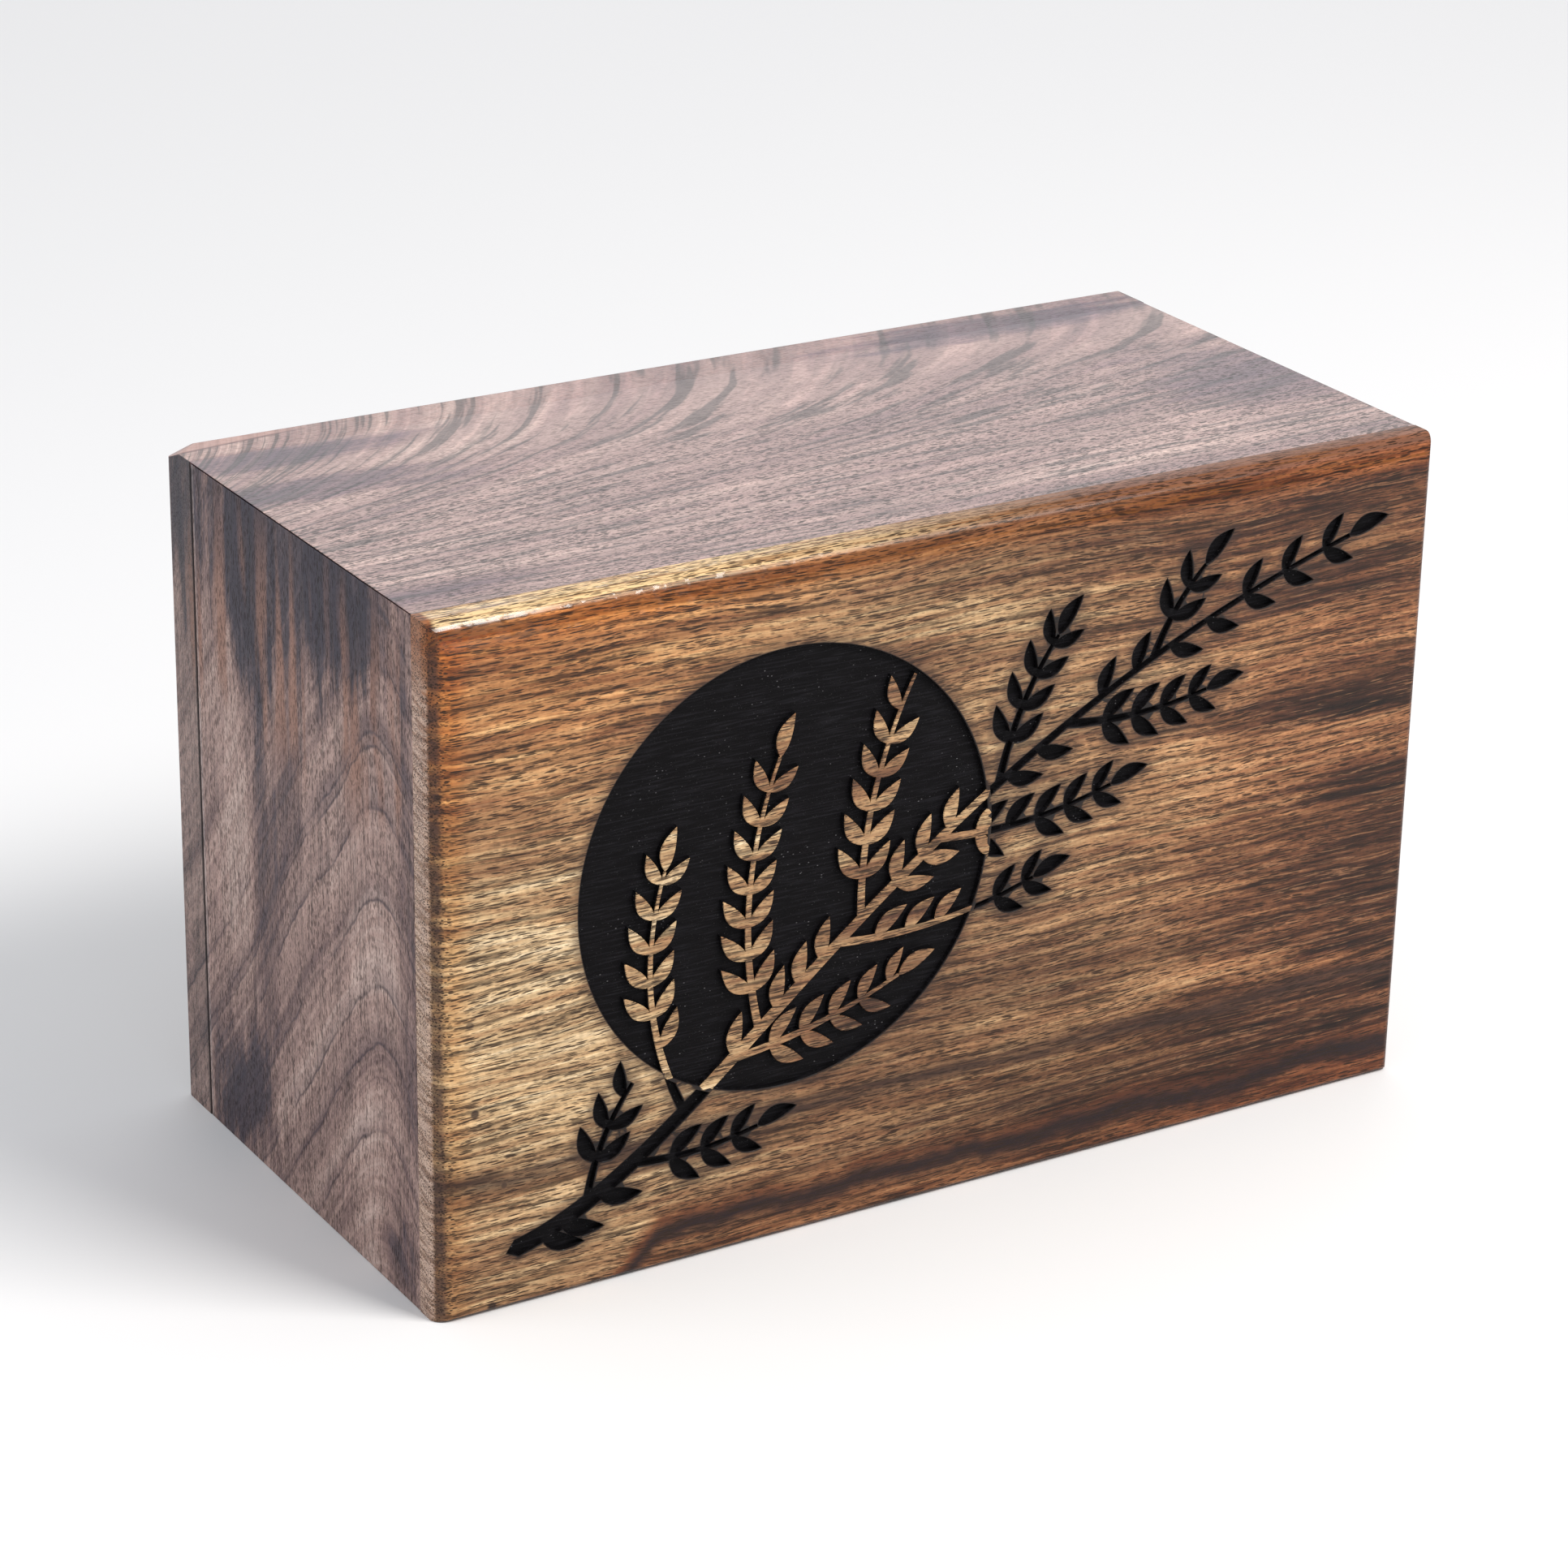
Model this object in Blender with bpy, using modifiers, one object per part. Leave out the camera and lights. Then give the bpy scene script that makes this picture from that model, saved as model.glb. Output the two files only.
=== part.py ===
"""Wooden cremation urn box with a leafy branch and a moon engraved in its front.

Metres, +Z up. The origin is the middle of the underside. The engraved front faces -Y,
and +X is to the right of someone who looks at the front.

Six boards make the box: a front board and a back board of full width and height, two
side boards and a top board mitred together between them, and a base panel that tucks
under the side boards and is held up by four countersunk screws.
"""

import math

import bmesh
import bpy
from mathutils import Matrix, Vector

# Overall size of the box
WIDTH = 0.254
DEPTH = 0.127
HEIGHT = 0.159

# Boards
FRONT_THICK = 0.008
BACK_THICK = 0.0126
WALL_THICK = 0.0127
BASE_THICK = 0.009
BASE_TUCK = 0.008
GAP = 0.0003

# Rounded edges
FRONT_ROUND = 0.006
FRONT_RIGHT_ROUND = 0.0025
FRONT_FOOT_ROUND = 0.0015
BACK_ROUND = 0.005
BACK_FOOT_ROUND = 0.001
SEAM_EASE = 0.0005
ROUND_SEGMENTS = 5

# Screws that hold the base panel
SCREW_HEAD_RADIUS = 0.00275
SCREW_HEAD_HEIGHT = 0.0018
SCREW_HEAD_SINK = 0.0002
SCREW_SHANK_RADIUS = 0.0014
SCREW_POINT_HEIGHT = 0.002
SCREW_LENGTH = 0.019
SCREW_EDGE_INSET = 0.0045
SCREW_END_INSET = 0.018
SCREW_STEPS = 16
RECESS_REACH = 0.0015
RECESS_WIDTH = 0.0007
RECESS_DEPTH = 0.0011

# Engraved drawing, measured from the middle of the front face. It shrinks or grows to
# keep its margins, and is as drawn where its width and height and the margins fill the face.
DRAWING_WIDTH = 0.225
DRAWING_HEIGHT = 0.134
DRAWING_SIDE_MARGIN = 0.0145
DRAWING_END_MARGIN = 0.0125

# Moon
MOON_CENTRE = Vector((-0.042, 0.0085))
MOON_RADIUS = 0.051
MOON_SIDES = 72
MOON_DEPTH = 0.0013
RIM_GAP = 0.001

# Main stem of the branch: start, two pulls and end of one smooth curve
STEM_CURVE = (
    Vector((-0.108, -0.0655)),
    Vector((-0.058, -0.0535)),
    Vector((-0.018, 0.0245)),
    Vector((0.104, 0.0595)),
)
STEM_WIDTH = 0.0042
STEM_TIP_WIDTH = 0.0009
STEM_STEPS = 16

# Twigs: place along the main stem, side (1 is above it), length and spread in degrees
TWIGS = (
    (0.115, 1, 0.029, 54.0),
    (0.190, -1, 0.032, 43.0),
    (0.275, 1, 0.062, 79.0),
    (0.350, -1, 0.044, 35.0),
    (0.390, 1, 0.066, 64.0),
    (0.500, -1, 0.052, 46.0),
    (0.530, 1, 0.058, 54.0),
    (0.625, -1, 0.046, 42.0),
    (0.690, 1, 0.036, 46.0),
    (0.760, -1, 0.038, 38.0),
    (0.840, 1, 0.024, 43.0),
)
TWIG_WIDTH = 0.002
TWIG_TIP_WIDTH = 0.0008
TWIG_BEND_BACK = 0.45
TWIG_STEPS = 6

# Leaves
LEAF_DEPTH = 0.0014
LEAF_LENGTH = 0.0116
LEAF_WIDTH_SHARE = 0.36
LEAF_CURL_SHARE = 0.07
LEAF_TAPER = 0.22
TWIG_LEAF_SHARE = 0.92
END_LEAF_SHARE = 0.95
LEAF_SPACING = 0.0078
LEAF_ANGLE = math.radians(40)
LEAF_STEPS = 5
LEAF_CLEARANCE = 0.0035
LEAF_STEM_CLEARANCE = 0.0021
LEAF_RIM_CLEARANCE = 0.0022

# How far a cutter stands proud of the face it cuts
CUT_PROUD = 0.001

FRONT_INNER = -DEPTH / 2 + FRONT_THICK
BACK_INNER = DEPTH / 2 - BACK_THICK
BETWEEN_DEPTH = BACK_INNER - FRONT_INNER - 2 * GAP
BETWEEN_MIDDLE = (BACK_INNER + FRONT_INNER) / 2


def clear_scene():
    """Remove every object that the opened file holds."""
    for obj in list(bpy.data.objects):
        bpy.data.objects.remove(obj, do_unlink=True)


def new_collection(name):
    """Return a new collection linked to the scene."""
    collection = bpy.data.collections.new(name)
    bpy.context.scene.collection.children.link(collection)
    return collection


def make_material(name, color, roughness, metallic=0.0, coat=0.0):
    """Return a Principled material with plain values."""
    material = bpy.data.materials.new(name)
    material.use_nodes = True
    shader = material.node_tree.nodes["Principled BSDF"]
    shader.inputs["Base Color"].default_value = (*color, 1.0)
    shader.inputs["Roughness"].default_value = roughness
    shader.inputs["Metallic"].default_value = metallic
    shader.inputs["Coat Weight"].default_value = coat
    return material


def add_object(name, mesh, collection, material):
    """Link a new object for a mesh and give it its material."""
    obj = bpy.data.objects.new(name, mesh)
    collection.objects.link(obj)
    if not mesh.materials:
        mesh.materials.append(material)
    return obj


def as_cutter(obj):
    """Mark an object as a cutter, which is not part of the box."""
    obj.hide_render = True
    obj.display_type = "WIRE"
    return obj


def cut(obj, cutter, overlapping=False):
    """Subtract a cutter from an object, which leaves the cutter's finish in the cut."""
    modifier = obj.modifiers.new("Cut " + cutter.name, "BOOLEAN")
    modifier.operation = "DIFFERENCE"
    modifier.solver = "EXACT"
    modifier.object = cutter
    modifier.use_self = overlapping
    modifier.material_mode = "TRANSFER"


def box_mesh(name, size):
    """Return a box's mesh, centred on its own origin."""
    bm = bmesh.new()
    bmesh.ops.create_cube(bm, size=1.0)
    bmesh.ops.scale(bm, vec=size, verts=bm.verts)
    mesh = bpy.data.meshes.new(name)
    bm.to_mesh(mesh)
    bm.free()
    return mesh


def weigh_box_edges(mesh, size, radii):
    """Give a box's edges bevel weights, and return the largest radius.

    A key of radii says where an edge lies: -1, 0 or 1 on each axis, with 0 on the axis
    that the edge runs along. (-1, -1, 0) is the upright edge at the front on the left.
    """
    largest = max(radii.values())
    bm = bmesh.new()
    bm.from_mesh(mesh)
    weight = bm.edges.layers.float.new("bevel_weight_edge")
    for edge in bm.edges:
        middle = (edge.verts[0].co + edge.verts[1].co) / 2
        key = tuple(round(2 * middle[axis] / size[axis]) for axis in range(3))
        edge[weight] = radii.get(key, 0.0) / largest
    bm.to_mesh(mesh)
    bm.free()
    return largest


def add_board(name, size, middle, collection, material, radii=None):
    """Make a board as a box with chosen edges rounded."""
    mesh = box_mesh(name, size)
    width = weigh_box_edges(mesh, size, radii) if radii else 0.0
    board = add_object(name, mesh, collection, material)
    board.location = middle
    if radii:
        bevel = board.modifiers.new("Round edges", "BEVEL")
        bevel.limit_method = "WEIGHT"
        bevel.width = width
        bevel.segments = ROUND_SEGMENTS
    return board


def outline_mesh(name, points, low, high):
    """Return the solid of a flat outline, drawn in X and Y, from z = low to z = high."""
    curve = bpy.data.curves.new(name, "CURVE")
    curve.dimensions = "2D"
    curve.fill_mode = "BOTH"
    curve.extrude = (high - low) / 2
    spline = curve.splines.new("POLY")
    spline.points.add(len(points) - 1)
    for spline_point, point in zip(spline.points, points):
        spline_point.co = (point[0], point[1], 0.0, 1.0)
    spline.use_cyclic_u = True
    drawn = bpy.data.objects.new(name + " outline", curve)
    bpy.context.scene.collection.objects.link(drawn)
    graph = bpy.context.evaluated_depsgraph_get()
    mesh = bpy.data.meshes.new_from_object(drawn.evaluated_get(graph))
    bpy.data.objects.remove(drawn, do_unlink=True)
    bpy.data.curves.remove(curve)
    bm = bmesh.new()
    bm.from_mesh(mesh)
    bmesh.ops.remove_doubles(bm, verts=bm.verts, dist=1e-6)
    bmesh.ops.translate(bm, vec=(0.0, 0.0, (high + low) / 2), verts=bm.verts)
    bmesh.ops.recalc_face_normals(bm, faces=bm.faces)
    bm.to_mesh(mesh)
    bm.free()
    mesh.name = name
    return mesh


def point_on(curve, share):
    """Return the point at a share of a smooth curve given by its control points."""
    points = list(curve)
    while len(points) > 1:
        points = [a.lerp(b, share) for a, b in zip(points, points[1:])]
    return points[0]


def heading_on(curve, share):
    """Return the direction of a curve at a share of it, as an angle from +X."""
    step = 0.01
    ahead = point_on(curve, min(1.0, share + step)) - point_on(curve, max(0.0, share - step))
    return math.atan2(ahead.y, ahead.x)


def along(angle, distance):
    """Return the flat vector of a length in a direction."""
    return Vector((math.cos(angle), math.sin(angle))) * distance


def curve_length(curve):
    """Return a curve's length."""
    samples = [point_on(curve, index / 60) for index in range(61)]
    return sum((b - a).length for a, b in zip(samples, samples[1:]))


def twig_curve(place, side, length, spread):
    """Return the control points of a twig that leaves the main stem and bends back."""
    root = point_on(STEM_CURVE, place)
    heading = heading_on(STEM_CURVE, place)
    turn = side * math.radians(spread)
    pull = root + along(heading + turn, length / 2)
    end = pull + along(heading + turn * TWIG_BEND_BACK, length / 2)
    return root, pull, end


def branch_stems():
    """Return the stems as (curve, width at the root, width at the tip, steps)."""
    stems = [(STEM_CURVE, STEM_WIDTH, STEM_TIP_WIDTH, STEM_STEPS)]
    for twig in TWIGS:
        stems.append((twig_curve(*twig), TWIG_WIDTH, TWIG_TIP_WIDTH, TWIG_STEPS))
    return stems


def stem_outline(curve, root_width, tip_width, steps):
    """Return the outline of a stem that tapers along its curve to a pointed end."""
    left = []
    right = []
    for index in range(steps + 1):
        share = index / steps
        across = along(heading_on(curve, share) + math.pi / 2, 0.5)
        half = across * (root_width + (tip_width - root_width) * share)
        middle = point_on(curve, share)
        left.append(middle + half)
        right.append(middle - half)
    cut_back = point_on(curve, 0.0) - along(heading_on(curve, 0.0), root_width * 0.6)
    return left + right[::-1] + [cut_back]


def leaf_outline(side):
    """Return the outline of a leaf of length 1 along X that curls to one side."""
    upper = []
    lower = []
    for index in range(LEAF_STEPS + 1):
        share = index / LEAF_STEPS
        belly = math.sin(math.pi * share ** 0.85)
        half = LEAF_WIDTH_SHARE / 2 * max(0.0, belly) ** 0.9
        curl = side * LEAF_CURL_SHARE * math.sin(math.pi * share)
        upper.append(Vector((share, curl + half)))
        lower.append(Vector((share, curl - half)))
    return upper + lower[-2:0:-1]


def leaf_crosses_rim_well(root, angle, length):
    """Say whether a leaf keeps off the moon's rim, or crosses it near its own middle."""
    shares = [index / 8 for index in range(9)]
    outside = [(root + along(angle, share * length) - MOON_CENTRE).length - MOON_RADIUS for share in shares]
    crossings = [share for share, a, b in zip(shares, outside, outside[1:]) if a * b <= 0.0]
    if not crossings:
        return min(abs(distance) for distance in outside) > LEAF_RIM_CLEARANCE
    straight_over = abs(outside[-1] - outside[0]) > 0.6 * length
    return len(crossings) == 1 and 0.3 <= crossings[0] <= 0.65 and straight_over


def leaf_candidates(curve, is_twig):
    """List the leaves that a stem could bear: one at its end and pairs along it."""
    total = curve_length(curve)
    size = LEAF_LENGTH * (TWIG_LEAF_SHARE if is_twig else 1.0)
    leaves = [(point_on(curve, 1.0), heading_on(curve, 1.0), size * END_LEAF_SHARE, 1)]
    distance = LEAF_SPACING * 1.2
    while distance < total - LEAF_SPACING / 4:
        share = distance / total
        root = point_on(curve, share)
        length = size * (1.0 - LEAF_TAPER * share)
        for side in (1, -1):
            leaves.append((root, heading_on(curve, share) + side * LEAF_ANGLE, length, side))
        distance += LEAF_SPACING
    return leaves


def branch_leaves(stems):
    """Choose the leaves that keep clear of each other, the stems and the moon's rim."""
    stem_points = []
    for curve, root_width, tip_width, steps in stems:
        samples = []
        for index in range(41):
            share = index / 40
            half = (root_width + (tip_width - root_width) * share) / 2
            samples.append((point_on(curve, share), half + LEAF_STEM_CLEARANCE))
        stem_points.append(samples)
    taken = []
    leaves = []
    for own in list(range(1, len(stems))) + [0]:
        for root, angle, length, side in leaf_candidates(stems[own][0], own > 0):
            spine = [(share, root + along(angle, share * length)) for share in (0.3, 0.55, 0.8, 1.0)]
            crowded = any((point - other).length < LEAF_CLEARANCE for share, point in spine for other in taken)
            for number, samples in enumerate(stem_points):
                for share, point in spine:
                    if number == own and share < 0.5:
                        continue
                    crowded = crowded or any((point - stem).length < keep for stem, keep in samples)
            if crowded or not leaf_crosses_rim_well(root, angle, length):
                continue
            leaves.append((root, angle, length, side))
            taken += [root + along(angle, share * length) for share in (0.35, 0.6, 0.85)]
    return leaves


def branch_mesh():
    """Return the branch as one mesh of overlapping solids, drawn flat in X and Y."""
    stems = branch_stems()
    bm = bmesh.new()
    for stem in stems:
        solid = outline_mesh("Stem", stem_outline(*stem), -LEAF_DEPTH, CUT_PROUD)
        bm.from_mesh(solid)
        bpy.data.meshes.remove(solid)
    blanks = {side: outline_mesh("Leaf", leaf_outline(side), -LEAF_DEPTH, CUT_PROUD) for side in (1, -1)}
    for root, angle, length, side in branch_leaves(stems):
        known = len(bm.verts)
        bm.from_mesh(blanks[side])
        bm.verts.ensure_lookup_table()
        place = Matrix.Translation((root.x, root.y, 0.0)) @ Matrix.Rotation(angle, 4, "Z")
        size = Matrix.Diagonal((length, length, 1.0, 1.0))
        bmesh.ops.transform(bm, matrix=place @ size, verts=bm.verts[known:])
    mesh = bpy.data.meshes.new("Branch")
    bm.to_mesh(mesh)
    bm.free()
    for blank in blanks.values():
        bpy.data.meshes.remove(blank)
    return mesh


def disc_mesh(name, radius, low, high):
    """Return a flat disc on the moon's centre from z = low to z = high."""
    bm = bmesh.new()
    middle = Matrix.Translation((MOON_CENTRE.x, MOON_CENTRE.y, (low + high) / 2))
    bmesh.ops.create_cone(
        bm,
        cap_ends=True,
        segments=MOON_SIDES,
        radius1=radius,
        radius2=radius,
        depth=high - low,
        matrix=middle,
    )
    mesh = bpy.data.meshes.new(name)
    bm.to_mesh(mesh)
    bm.free()
    return mesh


def on_front_face(obj):
    """Stand a flat drawing up against the front face, with its +Z out of the face."""
    width_fit = (WIDTH - 2 * DRAWING_SIDE_MARGIN) / DRAWING_WIDTH
    height_fit = (HEIGHT - 2 * DRAWING_END_MARGIN) / DRAWING_HEIGHT
    fit = min(width_fit, height_fit)
    obj.location = (0.0, -DEPTH / 2, HEIGHT / 2)
    obj.rotation_euler = (math.pi / 2, 0.0, 0.0)
    obj.scale = (fit, fit, 1.0)
    return obj


def engrave_front(board, cutters, charred):
    """Cut the moon and the branch into the front board.

    Inside the moon the branch is left standing, and outside it is cut away, up to a
    narrow rim that stays round the moon.
    """
    branch = branch_mesh()
    kept = as_cutter(on_front_face(add_object("Branch inside moon", branch, cutters, charred)))
    moon = disc_mesh("Moon", MOON_RADIUS, -MOON_DEPTH, CUT_PROUD / 2)
    moon = as_cutter(on_front_face(add_object("Moon", moon, cutters, charred)))
    cut(moon, kept, overlapping=True)
    rim = disc_mesh("Moon rim", MOON_RADIUS + RIM_GAP, -2 * LEAF_DEPTH, 2 * CUT_PROUD)
    rim = as_cutter(on_front_face(add_object("Moon rim", rim, cutters, charred)))
    carved = as_cutter(on_front_face(add_object("Branch outside moon", branch, cutters, charred)))
    cut(carved, rim, overlapping=True)
    cut(board, moon)
    cut(board, carved)


def add_mitre(boards, cutters, wood, side):
    """Cut one side board and the top board to meet on the slant, a gap apart."""
    across = 2 * WALL_THICK
    middle = Vector((side * (WIDTH - WALL_THICK) / 2, 0.0, HEIGHT - WALL_THICK / 2))
    slant = Vector((-side, 0.0, 1.0)).normalized()
    for board, towards in ((boards["side"], 1), (boards["top"], -1)):
        mesh = box_mesh("Mitre " + board.name, (across, DEPTH, across))
        cutter = as_cutter(add_object(mesh.name, mesh, cutters, wood))
        cutter.location = middle + slant * towards * (across - GAP) / 2
        cutter.rotation_euler = (0.0, math.pi / 4, 0.0)
        cut(board, cutter)


def add_rebate(board, cutters, wood, side):
    """Cut the step that the base panel tucks into at a side board's foot."""
    size = (BASE_TUCK + CUT_PROUD, DEPTH, BASE_THICK + GAP + CUT_PROUD)
    mesh = box_mesh("Rebate " + board.name, size)
    cutter = as_cutter(add_object(mesh.name, mesh, cutters, wood))
    inner_face = side * (WIDTH / 2 - WALL_THICK)
    cutter.location = (
        inner_face + side * (BASE_TUCK - CUT_PROUD) / 2,
        0.0,
        (BASE_THICK + GAP - CUT_PROUD) / 2,
    )
    cut(board, cutter)


def screw_profile(clearance):
    """Return a screw's outer profile from its point down to its head, in X and Z."""
    shank = SCREW_SHANK_RADIUS + clearance
    head = SCREW_HEAD_RADIUS + clearance
    top = SCREW_LENGTH + clearance
    sink = SCREW_HEAD_SINK if clearance == 0.0 else -CUT_PROUD
    neck = SCREW_HEAD_SINK + SCREW_HEAD_HEIGHT + clearance
    lip = SCREW_HEAD_SINK + SCREW_HEAD_HEIGHT * 0.15 + clearance
    return (
        (0.0, top),
        (shank * 0.25, top - SCREW_POINT_HEIGHT * 0.1),
        (shank, top - SCREW_POINT_HEIGHT),
        (shank, neck),
        (head, lip),
        (head, sink),
        (0.0, sink),
    )


def turned_mesh(name, profile, steps):
    """Return the closed solid that a profile sweeps round the Z axis."""
    mesh = bpy.data.meshes.new(name + " profile")
    edges = [(index, index + 1) for index in range(len(profile) - 1)]
    mesh.from_pydata([(x, 0.0, z) for x, z in profile], edges, [])
    turned = bpy.data.objects.new(name, mesh)
    bpy.context.scene.collection.objects.link(turned)
    screw = turned.modifiers.new("Turn", "SCREW")
    screw.steps = steps
    screw.render_steps = steps
    screw.use_merge_vertices = True
    screw.merge_threshold = 0.00001
    graph = bpy.context.evaluated_depsgraph_get()
    solid = bpy.data.meshes.new_from_object(turned.evaluated_get(graph))
    bpy.data.objects.remove(turned, do_unlink=True)
    bpy.data.meshes.remove(mesh)
    solid.name = name
    return solid


def cross_outline():
    """Return the outline of a screw's cross recess."""
    half = RECESS_WIDTH / 2
    points = []
    for quarter in range(4):
        turn = Matrix.Rotation(quarter * math.pi / 2, 2)
        points += [turn @ Vector(corner) for corner in ((RECESS_REACH, -half), (RECESS_REACH, half), (half, half))]
    return points


def screw_mesh(cutters, steel):
    """Return the finished screw: a turned solid with a cross recess in its head."""
    screw = add_object("Screw blank", turned_mesh("Screw", screw_profile(0.0), SCREW_STEPS), cutters, steel)
    recess = outline_mesh("Screw recess", cross_outline(), -CUT_PROUD, SCREW_HEAD_SINK + RECESS_DEPTH)
    recess = as_cutter(add_object(recess.name, recess, cutters, steel))
    cut(screw, recess)
    graph = bpy.context.evaluated_depsgraph_get()
    finished = bpy.data.meshes.new_from_object(screw.evaluated_get(graph))
    bpy.data.objects.remove(screw, do_unlink=True)
    finished.name = "Base screw"
    finished.shade_smooth()
    finished.set_sharp_from_angle(angle=math.radians(30))
    return finished


def add_screws(boards, parts, cutters, steel, wood):
    """Set four screws up through the base panel into the side boards."""
    finished = screw_mesh(cutters, steel)
    hole_mesh = turned_mesh("Screw hole", screw_profile(GAP), SCREW_STEPS)
    panel_edge = WIDTH / 2 - WALL_THICK + BASE_TUCK - GAP
    ends = (("front", FRONT_INNER + SCREW_END_INSET), ("back", BACK_INNER - SCREW_END_INSET))
    for side, side_name in ((-1, "left"), (1, "right")):
        for end_name, end in ends:
            place = (side * (panel_edge - SCREW_EDGE_INSET), end, 0.0)
            screw = add_object("base_screw_" + end_name + "_" + side_name, finished, parts, steel)
            screw.location = place
            hole = as_cutter(add_object("Hole " + screw.name, hole_mesh, cutters, wood))
            hole.location = place
            cut(boards["base"], hole)
            cut(boards[side_name], hole)


def build():
    """Make the whole box."""
    clear_scene()
    parts = new_collection("Cremation urn box")
    cutters = new_collection("Cutters")
    front_wood = make_material("Golden brown wood", (0.36, 0.19, 0.09), 0.32, coat=0.5)
    side_wood = make_material("Grey brown wood", (0.17, 0.12, 0.10), 0.35, coat=0.5)
    top_wood = make_material("Rose brown wood", (0.30, 0.20, 0.16), 0.35, coat=0.5)
    back_wood = make_material("Plain brown wood", (0.24, 0.14, 0.08), 0.42, coat=0.3)
    raw_wood = make_material("Bare brown wood", (0.30, 0.19, 0.11), 0.6)
    charred = make_material("Charred wood", (0.012, 0.011, 0.012), 0.6)
    steel = make_material("Screw steel", (0.55, 0.53, 0.50), 0.35, metallic=1.0)

    front = add_board(
        "front_board",
        (WIDTH, FRONT_THICK, HEIGHT),
        (0.0, (FRONT_INNER - DEPTH / 2) / 2, HEIGHT / 2),
        parts,
        front_wood,
        {
            (-1, -1, 0): FRONT_ROUND,
            (0, -1, 1): FRONT_ROUND,
            (1, -1, 0): FRONT_RIGHT_ROUND,
            (0, -1, -1): FRONT_FOOT_ROUND,
        },
    )
    engrave_front(front, cutters, charred)
    add_board(
        "back_board",
        (WIDTH, BACK_THICK, HEIGHT),
        (0.0, (BACK_INNER + DEPTH / 2) / 2, HEIGHT / 2),
        parts,
        back_wood,
        {
            (-1, 1, 0): BACK_ROUND,
            (1, 1, 0): BACK_ROUND,
            (0, 1, 1): BACK_ROUND,
            (0, 1, -1): BACK_FOOT_ROUND,
            (-1, -1, 0): SEAM_EASE,
            (1, -1, 0): SEAM_EASE,
        },
    )
    boards = {
        "top": add_board(
            "top_board",
            (WIDTH, BETWEEN_DEPTH, WALL_THICK),
            (0.0, BETWEEN_MIDDLE, HEIGHT - WALL_THICK / 2),
            parts,
            top_wood,
        ),
        "base": add_board(
            "base_panel",
            (WIDTH - 2 * (WALL_THICK - BASE_TUCK + GAP), BETWEEN_DEPTH, BASE_THICK),
            (0.0, BETWEEN_MIDDLE, BASE_THICK / 2),
            parts,
            raw_wood,
        ),
    }
    for side, side_name in ((-1, "left"), (1, "right")):
        board = add_board(
            side_name + "_side",
            (WALL_THICK, BETWEEN_DEPTH, HEIGHT),
            (side * (WIDTH - WALL_THICK) / 2, BETWEEN_MIDDLE, HEIGHT / 2),
            parts,
            side_wood,
            {(side, 1, 0): SEAM_EASE},
        )
        boards[side_name] = board
        add_mitre({"side": board, "top": boards["top"]}, cutters, side_wood, side)
        add_rebate(board, cutters, raw_wood, side)
    add_screws(boards, parts, cutters, steel, raw_wood)


build()
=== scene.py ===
"""Looks of a wooden cremation urn box with a moon and a leafy branch engraved in its front.

Metres, +Z up. The engraved front faces -Y and the box stands on z = 0. Every piece is made
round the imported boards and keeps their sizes: finer edges, engraving with sloped walls,
lacquered wood with its figure and pores, charred cuts, and the screws underneath.
"""

import logging
import math
from dataclasses import dataclass, field
from enum import Enum

import bmesh
import bpy
from mathutils import Matrix, Vector, noise
from mathutils.geometry import delaunay_2d_cdt
from mathutils.kdtree import KDTree


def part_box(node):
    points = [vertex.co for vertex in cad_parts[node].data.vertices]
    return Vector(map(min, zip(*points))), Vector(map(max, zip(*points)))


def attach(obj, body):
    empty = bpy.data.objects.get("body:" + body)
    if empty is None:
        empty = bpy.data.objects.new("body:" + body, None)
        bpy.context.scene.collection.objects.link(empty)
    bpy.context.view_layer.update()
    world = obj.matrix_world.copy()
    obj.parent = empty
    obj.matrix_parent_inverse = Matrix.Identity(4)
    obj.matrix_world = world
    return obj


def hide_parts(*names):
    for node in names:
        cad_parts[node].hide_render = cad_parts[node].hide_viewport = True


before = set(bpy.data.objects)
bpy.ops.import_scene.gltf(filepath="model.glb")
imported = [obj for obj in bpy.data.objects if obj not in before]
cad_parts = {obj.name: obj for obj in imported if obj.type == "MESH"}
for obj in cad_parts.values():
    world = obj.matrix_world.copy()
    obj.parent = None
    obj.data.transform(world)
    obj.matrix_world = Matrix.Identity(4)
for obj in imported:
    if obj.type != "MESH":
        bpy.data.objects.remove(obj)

log = logging.getLogger("urn_box")

Colour = tuple[float, float, float]
Box = tuple[Vector, Vector]
Place = tuple["Wire", "Wire", "Wire"]
MILLIMETRE = 0.001

PORE_ROUGHNESS = 0.25
WOOD_BUMP = 0.5
WOOD_BUMP_HEIGHT = 0.00015


class Side(Enum):
    """The side of a stem that a leaf or a twig grows on."""

    ABOVE = 1
    BELOW = -1


class Grain(Enum):
    """The axis that a board's grain runs along."""

    ACROSS = "X"
    UPRIGHT = "Z"


class Figure(Enum):
    """The pattern of growth lines on a board's broad face."""

    STRAIGHT = "straight"
    CATHEDRAL = "cathedral"
    SWEEPING = "sweeping"


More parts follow.
